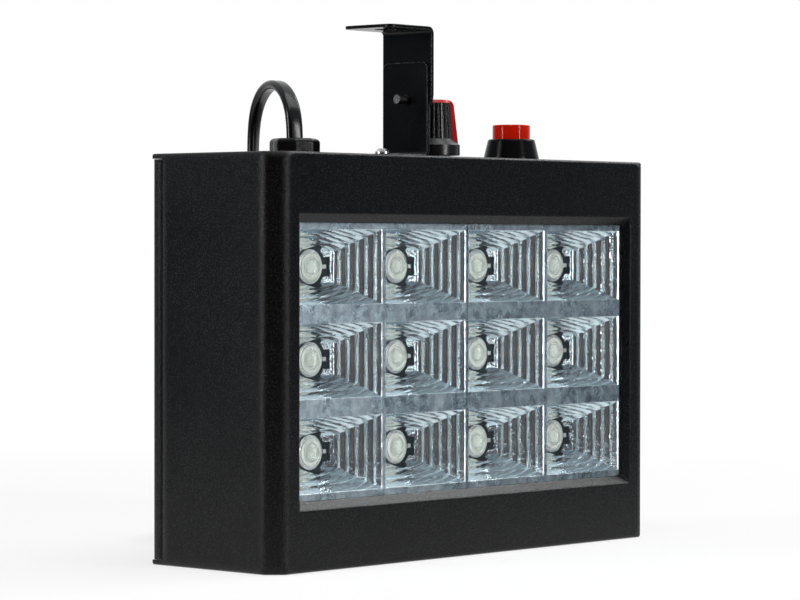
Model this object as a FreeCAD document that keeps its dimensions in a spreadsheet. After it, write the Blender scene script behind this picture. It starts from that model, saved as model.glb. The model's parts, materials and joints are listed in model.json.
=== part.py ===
import FreeCAD, Part
import math
import os
import re
import Sketcher
from FreeCAD import Placement, Rotation, Vector

# Room strobe light: twelve one-watt emitters in two fluted reflector modules behind a clear window,
# a moulded housing with a rear cover, speed knob, push button, tilting hanging bracket and flat lead.
# X runs to the right, Y to the back, Z up. The origin is the middle of the underside.

# Driving sizes in millimetres, counts and angles in degrees
SIZES = {
    # housing
    "housing_width": 172.0,
    "housing_depth": 50.0,
    "housing_height": 120.0,
    "wall": 2.4,
    "lip_wall": 1.5,
    "front_corner_cut": 4.6,
    "front_corner_round": 1.5,
    "cavity_corner_cut": 3.2,
    "edge_round": 0.8,
    "seam_gap": 0.25,
    "cut_overrun": 1.0,
    "same_place": 0.01,
    # window in the front wall
    "window_side": 9.9,
    "window_height": 84.9,
    "window_bevel": 2.0,
    "window_bevel_height": 2.6,
    "window_sheet": 1.2,
    "window_overlap": 1.4,
    # rear cover
    "cover_flange": 4.0,
    "cover_plate": 2.0,
    "cover_corner_radius": 1.2,
    "cover_fit_gap": 0.15,
    "cover_screw_inset": 8.0,
    "cover_boss_radius": 3.6,
    "cover_screw_radius": 1.45,
    "cover_screw_length": 12.0,
    "cover_screw_head_radius": 2.8,
    "cover_screw_head_height": 1.6,
    "screw_slack": 0.2,
    "vent_width": 2.4,
    "vent_height": 15.0,
    "vent_pitch": 6.5,
    "vent_drop": 20.5,
    "vent_count": 9,
    "cross_recess_width": 0.9,
    "cross_recess_length": 3.0,
    "cross_recess_depth": 0.9,
    "screw_fit_gap": 0.05,
    # reflector modules
    "module_side": 11.6,
    "module_top": 3.6,
    "cell_partition": 1.3,
    "row_partition": 5.2,
    "cell_depth": 12.0,
    "cell_side_slope": 14.3,
    "cell_top_slope": 12.5,
    "reflector_shell": 1.1,
    "module_gap": 0.4,
    "module_border": 2.4,
    "side_flutes": 5,
    "top_flutes": 3,
    "side_flute_rise_share": 0.16,
    "top_flute_rise_share": 0.03,
    "emitter_hole_radius": 6.1,
    "emitter_hole_depth": 4.8,
    "leg_notch_half_length": 8.1,
    "leg_notch_height": 5.7,
    # emitters and their board
    "emitter_ring_radius": 5.9,
    "emitter_ring_height": 0.9,
    "emitter_body_radius": 4.1,
    "emitter_body_height": 1.4,
    "emitter_dome_radius": 2.6,
    "emitter_cup_level": 0.6,
    "leg_span": 14.5,
    "leg_width": 1.2,
    "leg_thickness": 0.4,
    "board_thickness": 1.6,
    "emitter_board_side": 13.0,
    "emitter_board_top": 7.75,
    "board_post_x": 40.0,
    "board_post_inset": 3.4,
    "board_post_radius": 3.0,
    "board_screw_radius": 1.25,
    "board_screw_length": 8.0,
    "board_screw_head_radius": 2.4,
    "board_screw_head_height": 1.8,
    # driver board on the rear cover
    "driver_width": 112.0,
    "driver_height": 68.0,
    "driver_centre_z": 52.0,
    "driver_post_length": 7.0,
    "driver_post_inset": 5.0,
    "capacitor_radius": 5.0,
    "component_clearance": 6.1,
    "capacitor_spacing": 13.0,
    "capacitor_x": -34.0,
    "capacitor_z": 66.0,
    "transformer_width": 20.0,
    "transformer_height": 17.0,
    "transformer_x": -4.0,
    "transformer_core": 6.0,
    "transformer_flange": 1.2,
    "transistor_width": 10.0,
    "transistor_thickness": 4.4,
    "transistor_x": 30.0,
    "heat_sink_width": 24.0,
    "heat_sink_clearance": 3.1,
    "heat_sink_base": 1.8,
    "heat_sink_fins": 5,
    "fin_thickness": 1.0,
    "fin_length": 9.0,
    "terminal_width": 10.6,
    "terminal_height": 10.0,
    "terminal_length": 10.0,
    "terminal_x": -46.0,
    "terminal_z": 30.0,
    "terminal_hole_radius": 1.3,
    "fuse_radius": 2.6,
    "fuse_length": 20.0,
    "fuse_cap_length": 5.0,
    "fuse_cap_wall": 0.3,
    "fuse_x": -22.0,
    "fuse_z": 28.0,
    "fuse_lift": 4.2,
    "fuse_clip_width": 3.4,
    "fuse_clip_wall": 0.7,
    # controls on the top wall
    "control_line_y": 2.5,
    "gland_x": -49.6,
    "knob_x": 12.5,
    "button_x": 49.6,
    "pot_body_radius": 8.0,
    "pot_body_height": 7.5,
    "pot_bush_radius": 3.5,
    "pot_bush_rise": 4.4,
    "pot_nut_flats": 9.0,
    "pot_nut_height": 2.0,
    "pot_terminal_length": 6.0,
    "pot_terminal_width": 1.4,
    "pot_terminal_pitch": 5.0,
    "pot_terminal_thickness": 0.5,
    "shaft_radius": 3.0,
    "shaft_running_gap": 0.05,
    "shaft_rise": 14.0,
    "shaft_depth": 5.0,
    "knob_lift": 1.2,
    "knob_skirt_radius": 8.0,
    "knob_skirt_height": 3.2,
    "knob_shoulder_height": 1.9,
    "knob_foot_radius": 5.9,
    "knob_top_radius": 5.15,
    "knob_height": 16.2,
    "knob_cavity_radius": 7.0,
    "knob_cavity_height": 3.6,
    "knob_flutes": 24,
    "knob_flute_radius": 0.42,
    "marker_cap_height": 0.9,
    "marker_fin_width": 2.0,
    "marker_fin_foot": 1.6,
    "marker_fin_head": 0.75,
    "marker_fin_root": 1.6,
    "marker_fin_round": 2.1,
    "marker_turn": -48.0,
    "switch_foot_radius": 8.8,
    "switch_neck_radius": 7.4,
    "switch_foot_height": 1.2,
    "switch_collar_height": 7.1,
    "switch_collar_round": 0.7,
    "switch_well_floor": 1.5,
    "switch_thread_radius": 5.8,
    "switch_thread_length": 14.0,
    "switch_nut_flats": 14.0,
    "switch_nut_height": 2.2,
    "switch_body_radius": 4.6,
    "switch_body_length": 8.0,
    "switch_tab_length": 5.0,
    "switch_tab_width": 2.2,
    "switch_tab_thickness": 0.6,
    "switch_tab_pitch": 5.0,
    "cap_radius": 6.0,
    "cap_gap": 0.2,
    "cap_rise": 4.8,
    "cap_skirt": 1.4,
    "cap_round": 0.6,
    "stem_radius": 1.8,
    "stem_length": 9.0,
    "stem_gap": 0.1,
    "stem_well_slack": 1.6,
    "press_travel": 2.5,
    "spring_radius": 3.4,
    "spring_wire_radius": 0.2,
    "spring_turns": 3,
    "gland_turn": -22.3,
    "gland_sides": 8,
    "gland_flats": 13.8,
    "gland_head_height": 4.9,
    "gland_round": 1.5,
    "gland_neck_radius": 6.3,
    "gland_neck_flat": 10.6,
    "gland_neck_length": 11.5,
    "gland_split": 0.3,
    "gland_split_depth": 0.25,
    "gland_slot_depth": 2.0,
    "gland_slot_gap": 0.15,
    "panel_hole_gap": 0.1,
    # hanging bracket
    "bracket_sheet": 1.0,
    "bracket_bend_radius": 2.2,
    "bracket_inner_radius": 1.2,
    "lower_width": 18.2,
    "lower_rise": 29.3,
    "lower_corner_radius": 2.0,
    "foot_length": 19.0,
    "foot_corner_radius": 2.0,
    "foot_screw_x": -11.2,
    "foot_screw_radius": 1.45,
    "foot_screw_length": 9.0,
    "foot_screw_head_radius": 2.35,
    "foot_screw_head_height": 1.8,
    "foot_screw_head_round": 1.0,
    "foot_nut_flats": 5.5,
    "foot_nut_height": 2.4,
    "pivot_rise": 18.0,
    "arm_width": 20.0,
    "arm_rise": 40.0,
    "arm_tail": 6.2,
    "arm_tail_radius": 8.0,
    "tab_length": 19.5,
    "tab_corner_radius": 2.5,
    "hanging_hole_radius": 3.25,
    "hanging_hole_x": -10.0,
    "tilt_screw_radius": 1.45,
    "tilt_screw_gap": 0.06,
    "tilt_screw_point": 3.8,
    "tilt_washer_radius": 3.6,
    "tilt_washer_thickness": 0.6,
    "thumb_radius": 4.6,
    "thumb_length": 3.2,
    "thumb_hub_radius": 3.2,
    "thumb_hub_length": 0.6,
    "thumb_grooves": 16,
    "thumb_groove_radius": 0.4,
    # flat lead, its coil and its plug
    "lead_width": 5.1,
    "lead_thickness": 2.7,
    "coil_mean_radius": 27.6,
    "coil_turn_pitch": 3.25,
    "coil_layer_pitch": 5.65,
    "coil_layers": 2,
    "coil_turns_each_layer": 3,
    "coil_lead_in": 6.5,
    "coil_lead_out": 5.1,
    "coil_extra_turn": 15.0,
    "bend_share": 0.45,
    "twist_step": 12.0,
    "tail_length": 15.9,
    "tail_twist": 90.0,
    "floor_gap": 0.05,
    "plug_width": 25.0,
    "plug_thickness": 13.0,
    "plug_length": 27.0,
    "plug_taper": 9.0,
    "plug_neck_width": 12.0,
    "plug_neck_thickness": 9.0,
    "plug_round": 2.0,
    "relief_length": 13.0,
    "relief_slots": 4,
    "relief_slot_width": 1.2,
    "relief_slot_depth": 1.4,
    "relief_end_width": 7.2,
    "relief_end_thickness": 4.8,
    "blade_width": 6.3,
    "blade_thickness": 1.5,
    "blade_length": 17.0,
    "blade_spacing": 12.7,
    "blade_tip_round": 1.5,
    "blade_root": 6.0,
}

# Sizes that follow from others
DERIVED = {
    "window_width": "housing_width - 2 * window_side",
    "column_pitch": "(housing_width - 2 * module_side) / 4",
    "cell_width": "column_pitch - cell_partition",
    "cell_floor_width": "cell_width - cell_side_slope",
    "row_pitch": "(window_height - module_top) / 3",
    "cell_height": "row_pitch - row_partition",
    "cell_floor_height": "cell_height - cell_top_slope",
    "module_height": "2 * row_pitch + cell_height + 2 * module_border",
    "emitter_board_width": "housing_width - 2 * emitter_board_side",
    "emitter_board_height": "module_height + 2 * emitter_board_top",
    "front_room": "wall + window_sheet + cell_depth + reflector_shell + board_thickness",
    "back_room": "cover_plate + driver_post_length + board_thickness",
    "board_room": "housing_depth - front_room - back_room",
    "component_reach": "board_room - component_clearance",
    "heat_sink_height": "board_room - heat_sink_clearance",
}

# Route of the free lead, from the gland over the arch, down behind the cover and along the floor to
# the coil, and of the tail from the coil to the plug. Points chosen by hand, in millimetres.
LEAD_ROUTE = [
    (-49.6, 2.5, 122.9),
    (-49.6, 2.5, 130.1),
    (-48.0, 6.3, 137.3),
    (-45.4, 12.9, 141.4),
    (-42.2, 20.6, 141.4),
    (-39.6, 27.2, 137.3),
    (-38.0, 31.0, 130.1),
    (-37.6, 31.8, 117.5),
    (-37.8, 32.2, 98.0),
    (-38.3, 31.9, 66.0),
    (-38.2, 31.5, 37.5),
    (-37.6, 31.3, 21.8),
    (-30.6, 31.4, 9.4),
    (-17.9, 31.7, 2.6),
    (-6.2, 32.0, 2.6),
]

# How many bends of the route belong to the arch, the straight drop where the lead untwists, and the floor
ARCH_BENDS = 6
DROP_BENDS = 4
FLOOR_BENDS = 3
# Corners of the tail: how far along it, and how far down to the plug's level
TAIL_SHARES = ((0, 0), (0.3, 0), (0.7, 1), (1, 1))

os.makedirs("parts", exist_ok=True)
doc = FreeCAD.newDocument("room_strobe")
sheet = doc.addObject("Spreadsheet::Sheet", "Sizes")
for row, (alias, value) in enumerate(SIZES.items(), start=1):
    sheet.set(f"A{row}", alias)
    sheet.set(f"B{row}", str(value))
    sheet.setAlias(f"B{row}", alias)
following = doc.addObject("App::VarSet", "Following")
doc.recompute()

nodes = []


def size(alias):
    """The value of a named size, from the sheet or from those that follow from it."""
    return getattr(following, alias) if alias in DERIVED else float(sheet.get(alias))


def reference(word):
    """How a formula refers to a word: to a following size, to the sheet, or as it is."""
    name = word.group()
    if name in DERIVED:
        return "Following." + name
    return "Sizes." + name if name in SIZES else name


def formula(text):
    """Writes each named size in a formula as a reference to where it is kept."""
    return re.sub(r"[a-z_]+", reference, text)


def bind(item, places):
    """Ties properties of an object to formulas in named sizes."""
    for path, text in places.items():
        item.setExpression(path, formula(text))
    return item


for name, rule in DERIVED.items():
    following.addProperty("App::PropertyFloat", name)
    following.setExpression(name, formula(rule))
doc.recompute()


def at(item, x="0", y="0", z="0"):
    """Places an object at three formulas."""
    return bind(item, {".Placement.Base.x": x, ".Placement.Base.y": y, ".Placement.Base.z": z})


def turned(item, axis, angle):
    """Turns an object about an axis through its own base point."""
    item.Placement = Placement(item.Placement.Base, Rotation(Vector(*axis), angle))
    return item


def box(name, lengths, corner):
    """A block whose three lengths and lowest corner are formulas."""
    item = doc.addObject("Part::Box", name)
    bind(item, {"Length": lengths[0], "Width": lengths[1], "Height": lengths[2]})
    return at(item, *corner)


def middle_box(name, lengths, centre):
    """A block round a centre point, all in formulas."""
    corner = [f"({c}) - ({d}) / 2" for c, d in zip(centre, lengths)]
    return box(name, lengths, corner)


UP = (0, 0, 1)
UP_VECTOR = Vector(*UP)
DIRECTIONS = {
    "up": (UP, 0),
    "down": ((1, 0, 0), 180),
    "front": ((1, 0, 0), 90),
    "back": ((1, 0, 0), -90),
    "right": ((0, 1, 0), 90),
    "left": ((0, 1, 0), -90),
}


def rod(name, radius, length, base, heading="up"):
    """A cylinder from a base point along a named heading."""
    item = doc.addObject("Part::Cylinder", name)
    turned(item, *DIRECTIONS[heading])
    bind(item, {"Radius": radius, "Height": length})
    return at(item, *base)


def cone(name, first_radius, last_radius, length, base, heading="up"):
    """A cone or truncated cone from a base point along a named heading."""
    item = doc.addObject("Part::Cone", name)
    turned(item, *DIRECTIONS[heading])
    bind(item, {"Radius1": first_radius, "Radius2": last_radius, "Height": length})
    return at(item, *base)


def hexagon(name, flats, length, base, heading="up"):
    """A hexagonal prism whose flats are a given distance apart."""
    item = doc.addObject("Part::Prism", name)
    item.Polygon = 6
    turned(item, *DIRECTIONS[heading])
    bind(item, {"Circumradius": f"({flats}) / sqrt(3)", "Height": length})
    return at(item, *base)


def fuse(name, shapes):
    """Joins several shapes."""
    item = doc.addObject("Part::MultiFuse", name)
    item.Shapes = shapes
    item.Refine = True
    return item


def cut(name, base, tools):
    """Takes one or more tools away from a base."""
    item = doc.addObject("Part::Cut", name)
    item.Base = base
    item.Tool = tools[0] if len(tools) == 1 else fuse(name + "_tools", tools)
    item.Refine = True
    return item


def common(name, first, second):
    """Keeps what two shapes share."""
    item = doc.addObject("Part::Common", name)
    item.Base = first
    item.Tool = second
    return item


def group(name, shapes):
    """Several separate solids kept as one sub-part."""
    item = doc.addObject("Part::Compound", name)
    item.Links = shapes
    return item


def shaped(name, shape):
    """A sub-part or tool whose shape is worked out from the sheet's values."""
    item = doc.addObject("Part::Feature", name)
    item.Shape = shape
    return item


def moved(name, item, x="0", y="0", z="0"):
    """The same shape again at another place."""
    return at(group(name, [item]), x, y, z)


def wedge(name, first, last, depth, base):
    """A frustum along Y round a base point, from a first width and height to a last width and height."""
    item = doc.addObject("Part::Wedge", name)
    item.Ymin = 0
    bind(item, {
        "Xmin": f"-({first[0]}) / 2", "Xmax": f"({first[0]}) / 2",
        "Zmin": f"-({first[1]}) / 2", "Zmax": f"({first[1]}) / 2",
        "X2min": f"-({last[0]}) / 2", "X2max": f"({last[0]}) / 2",
        "Z2min": f"-({last[1]}) / 2", "Z2max": f"({last[1]}) / 2",
        "Ymax": depth,
    })
    return at(item, *base)


def edges_where(item, test):
    """Numbers of the edges of an object's shape that pass a test."""
    return [number for number, edge in enumerate(item.Shape.Edges, start=1) if test(edge)]


def rounded(name, base, radius, test, kind="Part::Fillet"):
    """Rounds or chamfers the edges of a shape that pass a test."""
    doc.recompute()
    item = doc.addObject(kind, name)
    item.Base = base
    item.Edges = [(number, size(radius), size(radius)) for number in edges_where(base, test)]
    return item


def node(name, item):
    """Names a sub-part and lists it for export."""
    item.Label = name
    nodes.append((name, item))
    return item


def near(first, second):
    """Whether two lengths are the same place."""
    return abs(first - second) < size("same_place")


def origin_plane(body, role):
    """One of a body's own origin planes."""
    return next(feature for feature in body.Origin.OriginFeatures if feature.Role == role)


def new_body(name, x="0", y="0", z="0"):
    """An empty body placed at three formulas."""
    body = doc.addObject("PartDesign::Body", name)
    return at(body, x, y, z)


def new_sketch(body, name, role="XY_Plane"):
    """An empty sketch on one of a body's own planes."""
    sketch = body.newObject("Sketcher::SketchObject", name)
    sketch.AttachmentSupport = [(origin_plane(body, role), "")]
    sketch.MapMode = "FlatFace"
    return sketch


def constrain(sketch, kind, *where, value=None):
    """Adds a constraint, and ties its value to a formula when one is given."""
    if value is None:
        return sketch.addConstraint(Sketcher.Constraint(kind, *where))
    number = sketch.addConstraint(Sketcher.Constraint(kind, *where, 1.0))
    sketch.setExpression(f"Constraints[{number}]", formula(value))
    return number


def outline(sketch, corners):
    """A closed outline of straight edges whose corners lie at formulas."""
    count = len(corners)
    turns = [math.tau * index / count for index in range(count + 1)]
    start = [Vector(math.cos(turn), math.sin(turn), 0) for turn in turns]
    for index in range(count):
        sketch.addGeometry(Part.LineSegment(start[index], start[index + 1]), False)
    for index in range(count):
        constrain(sketch, "Coincident", index, 2, (index + 1) % count, 1)
    for index, (across, along) in enumerate(corners):
        constrain(sketch, "DistanceX", -1, 1, index, 1, value=across)
        constrain(sketch, "DistanceY", -1, 1, index, 1, value=along)


def turned_body(name, corners, place=("0", "0", "0"), heading="up"):
    """A body of revolution from an outline in radius and height."""
    body = turned(new_body(name, *place), *DIRECTIONS[heading])
    sketch = new_sketch(body, name + "_outline", "XZ_Plane")
    outline(sketch, corners)
    revolution = body.newObject("PartDesign::Revolution", name + "_turned")
    revolution.Profile = sketch
    revolution.ReferenceAxis = (sketch, ["V_Axis"])
    revolution.Angle = 360
    body.Tip = revolution
    return body


def runs_along(edge, axis):
    """Whether an edge is straight and parallel to an axis."""
    box_of_edge = edge.BoundBox
    spans = {"x": box_of_edge.XLength, "y": box_of_edge.YLength, "z": box_of_edge.ZLength}
    return all(near(span, 0) == (name != axis) for name, span in spans.items())


# Levels that several sub-parts share
FRONT = "-housing_depth / 2"
BACK = "housing_depth / 2"
WALL_INSIDE = "-housing_depth / 2 + wall"
REFLECTOR_FRONT = f"{WALL_INSIDE} + window_sheet"
EMITTER_BOARD_BACK = "-housing_depth / 2 + front_room"
FLOOR_BACK = f"{EMITTER_BOARD_BACK} - board_thickness"
COVER_INSIDE = "housing_depth / 2 - cover_plate"
COVER_EDGE = "housing_depth / 2 - cover_flange"
DRIVER_FRONT = "housing_depth / 2 - back_room"
DRIVER_BACK = f"{DRIVER_FRONT} + board_thickness"
TOP = "housing_height"
TOP_INSIDE = "housing_height - wall"
MIDDLE = "housing_height / 2"
PIVOT = "housing_height + pivot_rise"
SIDES = ("-1", "1")


def front_upright(edge):
    """Whether an edge is vertical and in the front half."""
    return runs_along(edge, "z") and edge.CenterOfMass.y < 0


# Places that repeat
COVER_SCREW_PLACES = [
    (f"{side} * (housing_width / 2 - cover_screw_inset)",
     f"{MIDDLE} + {level} * ({MIDDLE} - cover_screw_inset)")
    for side in SIDES for level in SIDES
]
EMITTER_SCREW_PLACES = [
    (f"{side} * board_post_x", f"{MIDDLE} + {level} * (emitter_board_height / 2 - board_post_inset)")
    for side in SIDES for level in SIDES
]
DRIVER_SCREW_PLACES = [
    (f"{side} * (driver_width / 2 - driver_post_inset)",
     f"driver_centre_z + {level} * (driver_height / 2 - driver_post_inset)")
    for side in SIDES for level in SIDES
]
CELL_PLACES = [
    (f"{side} * {column} * column_pitch", f"{MIDDLE} + {row} * row_pitch")
    for side in SIDES for column in ("1 / 2", "3 / 2") for row in ("-1", "0", "1")
]


def through_top(name, radius, x):
    """A round hole tool through the top wall on the line of controls."""
    reach = "wall + bracket_sheet + 2 * cut_overrun"
    return rod(name, radius, reach, (x, "control_line_y", f"{TOP_INSIDE} - cut_overrun"))


def gland_neck(name, gap, length, base_z):
    """The double flatted neck of the strain relief, or its hole when a gap is given."""
    barrel = rod(name + "_barrel", f"gland_neck_radius + {gap}", length, ("0", "0", "0"))
    sizes = ("3 * gland_neck_radius", f"gland_neck_flat + 2 * ({gap})", f"2 * ({length})")
    flats = middle_box(name + "_flats", sizes, ("0", "0", "0"))
    neck = common(name, barrel, flats)
    turned(neck, UP, size("gland_turn"))
    return at(neck, "gland_x", "control_line_y", base_z)


def build_housing():
    """The moulded front shell with its window opening, control holes, ribs, bosses and posts."""
    back = size("housing_depth") / 2
    block = middle_box("housing_block", ("housing_width", "housing_depth", "housing_height"),
                       ("0", "0", MIDDLE))
    bevelled = rounded("housing_corners", block, "front_corner_cut", front_upright, "Part::Chamfer")
    upright = rounded("housing_uprights", bevelled, "front_corner_round", front_upright)
    soft = rounded("housing_rims", upright, "edge_round",
                   lambda edge: near(edge.BoundBox.ZLength, 0) and not near(edge.BoundBox.YMin, back))
    far = "housing_depth"
    room = box("housing_room", ("housing_width - 2 * wall", far, "housing_height - 2 * wall"),
               ("wall - housing_width / 2", WALL_INSIDE, "wall"))
    hole_width = "window_width - 2 * window_bevel"
    hole_height = "window_height - 2 * window_bevel_height"
    tools = [
        rounded("housing_cavity", room, "cavity_corner_cut", front_upright, "Part::Chamfer"),
        box("housing_rebate", ("housing_width + 2 * cut_overrun", far, "housing_height - 2 * lip_wall"),
            ("-housing_width / 2 - cut_overrun", f"{COVER_EDGE} - seam_gap", "lip_wall")),
        wedge("window_bevel_tool", ("window_width", "window_height"), (hole_width, hole_height),
              "window_bevel", ("0", FRONT, MIDDLE)),
        middle_box("window_hole", (hole_width, "2 * (wall + cut_overrun)", hole_height), ("0", FRONT, MIDDLE)),
    ]
    additions = [cut("housing_shell", soft, tools)]
    for number, (x, z) in enumerate(COVER_SCREW_PLACES):
        length = "housing_depth - wall - cover_plate"
        additions.append(rod(f"cover_boss_{number}", "cover_boss_radius", length, (x, WALL_INSIDE, z), "back"))
        rib_length = "cover_screw_inset - wall"
        rib_x = "wall - housing_width / 2" if x.startswith("-1") else f"housing_width / 2 - wall - ({rib_length})"
        rib_depth = "housing_depth - wall - cover_flange - seam_gap"
        additions.append(box(f"boss_rib_{number}", (rib_length, rib_depth, "lip_wall"),
                             (rib_x, WALL_INSIDE, f"{z} - lip_wall / 2")))
    post_length = "window_sheet + cell_depth + reflector_shell"
    for number, (x, z) in enumerate(EMITTER_SCREW_PLACES):
        additions.append(rod(f"board_post_{number}", "board_post_radius", post_length,
                             (x, WALL_INSIDE, z), "back"))
    holes = []
    for number, (x, z) in enumerate(COVER_SCREW_PLACES):
        holes.append(rod(f"cover_pilot_{number}", "cover_screw_radius + screw_fit_gap", "cover_screw_length",
                         (x, COVER_INSIDE, z), "front"))
    for number, (x, z) in enumerate(EMITTER_SCREW_PLACES):
        holes.append(rod(f"board_pilot_{number}", "board_screw_radius + screw_fit_gap", "board_screw_length",
                         (x, FLOOR_BACK, z), "front"))
    holes.append(through_top("knob_panel_hole", "pot_bush_radius + panel_hole_gap", "knob_x"))
    holes.append(through_top("button_panel_hole", "switch_thread_radius + panel_hole_gap", "button_x"))
    holes.append(through_top("foot_panel_hole", "foot_screw_radius + panel_hole_gap", "foot_screw_x"))
    holes.append(gland_neck("gland_panel_hole", "panel_hole_gap", "wall + 2 * cut_overrun",
                            f"{TOP_INSIDE} - cut_overrun"))
    node("front_housing", cut("front_housing", fuse("housing_with_bosses", additions), holes))


def build_cover():
    """The tray-shaped rear cover with vents and driver board posts, and its four flush screws."""
    edge_z = "lip_wall + cover_fit_gap"
    block = box("cover_block", ("housing_width", "cover_flange", f"housing_height - 2 * ({edge_z})"),
                ("-housing_width / 2", COVER_EDGE, edge_z))
    back = size("housing_depth") / 2
    soft = rounded("cover_corners", block, "cover_corner_radius",
                   lambda edge: runs_along(edge, "z") and near(edge.CenterOfMass.y, back))
    pocket = box("cover_pocket", ("housing_width - 2 * wall", "cover_flange - cover_plate + cut_overrun",
                                  f"housing_height - 2 * ({edge_z} + lip_wall)"),
                 ("wall - housing_width / 2", f"{COVER_EDGE} - cut_overrun", f"{edge_z} + lip_wall"))
    tray = cut("cover_tray", soft, [pocket])
    posts = [tray]
    holes = []
    for number, (x, z) in enumerate(DRIVER_SCREW_PLACES):
        posts.append(rod(f"driver_post_{number}", "board_post_radius", "driver_post_length",
                         (x, COVER_INSIDE, z), "front"))
        holes.append(rod(f"driver_pilot_{number}", "board_screw_radius + screw_fit_gap", "driver_post_length",
                         (x, DRIVER_BACK, z), "back"))
    for number, (x, z) in enumerate(COVER_SCREW_PLACES):
        holes.append(rod(f"cover_hole_{number}", "cover_screw_radius + screw_slack",
                         "cover_plate + 2 * cut_overrun", (x, f"{BACK} + cut_overrun", z), "front"))
        holes.append(cone(f"cover_sink_{number}", "cover_screw_head_radius + screw_fit_gap",
                          "cover_screw_radius + screw_fit_gap", "cover_screw_head_height", (x, BACK, z), "front"))
    section = stadium(Vector(), Vector(0, 1, 0), UP_VECTOR, size("vent_height"), size("vent_width"))
    vent = prism_of("vent", shaped("vent_section", Part.Face(section)), Vector(0, 1, 0), "4 * cover_plate")
    for number in range(int(size("vent_count"))):
        holes.append(moved(f"vent_{number}", vent, f"vent_pitch * ({number} - (vent_count - 1) / 2)",
                           BACK, "housing_height - vent_drop"))
    node("rear_cover", cut("rear_cover", fuse("cover_with_posts", posts), holes))

    profile = [("0", "-cover_screw_length"), ("cover_screw_radius", "-cover_screw_length"),
               ("cover_screw_radius", "-cover_screw_head_height"), ("cover_screw_head_radius", "0"), ("0", "0")]
    blank = turned_body("cover_screw_blank", profile, heading="back")
    screw = cut("cover_screw", blank, cross_recess("cover_screw_recess", "0"))
    copies = [moved(f"cover_screw_{number}", screw, x, BACK, z)
              for number, (x, z) in enumerate(COVER_SCREW_PLACES)]
    node("rear_cover_screws", group("rear_cover_screws", copies))


def cross_recess(name, y):
    """The two slots of a cross recess sunk from a level along Y."""
    slots = []
    for way, (width, height) in enumerate((("cross_recess_width", "cross_recess_length"),
                                           ("cross_recess_length", "cross_recess_width"))):
        slots.append(middle_box(f"{name}_{way}", (width, "2 * cross_recess_depth", height), ("0", y, "0")))
    return slots


def build_window():
    """The clear sheet behind the opening."""
    width = "window_width - 2 * window_bevel + 2 * window_overlap"
    height = "window_height - 2 * window_bevel_height + 2 * window_overlap"
    node("clear_window", middle_box("clear_window", (width, "window_sheet", height),
                                    ("0", f"{WALL_INSIDE} + window_sheet / 2", MIDDLE)))


def fluted_wall(start, end, inward, count, rise_share):
    """A slanting wall as equal arcs that swell into the cell."""
    slope = (end - start).normalize()
    swell = (inward - slope * inward.dot(slope)).normalize() * ((end - start).Length / count * rise_share)
    edges = []
    for index in range(count):
        first = start + (end - start) * (index / count)
        last = start + (end - start) * ((index + 1) / count)
        edges.append(Part.Arc(first, (first + last) / 2 + swell, last).toShape())
    return edges


def fluted_profile(name, across, half_mouth, half_floor, count, rise_share):
    """The section of a cell: two fluted slanting walls between the mouth and the floor."""
    deep = Vector(0, size("cell_depth"), 0)
    mouth = [across * half_mouth, across * -half_mouth]
    floor = [across * half_floor + deep, across * -half_floor + deep]
    edges = fluted_wall(mouth[0], floor[0], across * -1, count, rise_share)
    edges.append(Part.LineSegment(floor[0], floor[1]).toShape())
    edges += fluted_wall(mouth[1], floor[1], across, count, rise_share)
    edges.append(Part.LineSegment(mouth[1], mouth[0]).toShape())
    return shaped(name, Part.Face(Part.Wire(Part.__sortEdges__(edges))))


def prism_of(name, face, direction, length):
    """A face drawn out equally to both sides."""
    item = doc.addObject("Part::Extrusion", name)
    item.Base = face
    item.DirMode = "Custom"
    item.Dir = direction
    item.Solid = True
    item.Symmetric = True
    bind(item, {"LengthFwd": length})
    return item


def build_reflectors():
    """Two chromed modules of six fluted cells each, with a floor opening and leg notch for every emitter."""
    plan = fluted_profile("cell_plan", Vector(1, 0, 0), size("cell_width") / 2, size("cell_floor_width") / 2,
                          int(size("side_flutes")), size("side_flute_rise_share"))
    side = fluted_profile("cell_side", Vector(0, 0, 1), size("cell_height") / 2, size("cell_floor_height") / 2,
                          int(size("top_flutes")), size("top_flute_rise_share"))
    cavity = common("cell_cavity", prism_of("cell_across", plan, Vector(0, 0, 1), "cell_height"),
                    prism_of("cell_upright", side, Vector(1, 0, 0), "cell_width"))
    shell = wedge("cell_shell", ("cell_width + 2 * reflector_shell", "cell_height + 2 * reflector_shell"),
                  ("cell_floor_width + 2 * reflector_shell", "cell_floor_height + 2 * reflector_shell"),
                  "cell_depth + reflector_shell", ("0", "0", "0"))
    hole = rod("emitter_hole", "emitter_hole_radius", "emitter_hole_depth",
               ("0", "cell_depth + reflector_shell", "0"), "front")
    notch = middle_box("leg_notch", ("2 * leg_notch_half_length", "2 * reflector_shell", "leg_notch_height"),
                       ("0", "cell_depth + reflector_shell", "0"))
    hollow = fuse("cell_hollow", [cavity, hole, notch])
    inner = "column_pitch / 2 + column_pitch + cell_width / 2 + module_border - module_gap / 2"
    for name, sign in (("reflector_left", "-1"), ("reflector_right", "1")):
        places = [place for place in CELL_PLACES if place[0].startswith(sign + " ")]
        shells = [moved(f"{name}_shell_{number}", shell, x, REFLECTOR_FRONT, z)
                  for number, (x, z) in enumerate(places)]
        hollows = [moved(f"{name}_hollow_{number}", hollow, x, REFLECTOR_FRONT, z)
                   for number, (x, z) in enumerate(places)]
        corner_x = "module_gap / 2" if sign == "1" else f"-module_gap / 2 - ({inner})"
        corner = (corner_x, REFLECTOR_FRONT, f"{MIDDLE} - module_height / 2")
        plate = box(name + "_plate", (inner, "reflector_shell", "module_height"), corner)
        room = box(name + "_room", (inner, "housing_depth", "module_height"), corner)
        body = common(name + "_body", fuse(name + "_blank", [plate] + shells), room)
        node(name, cut(name, body, hollows))


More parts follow.
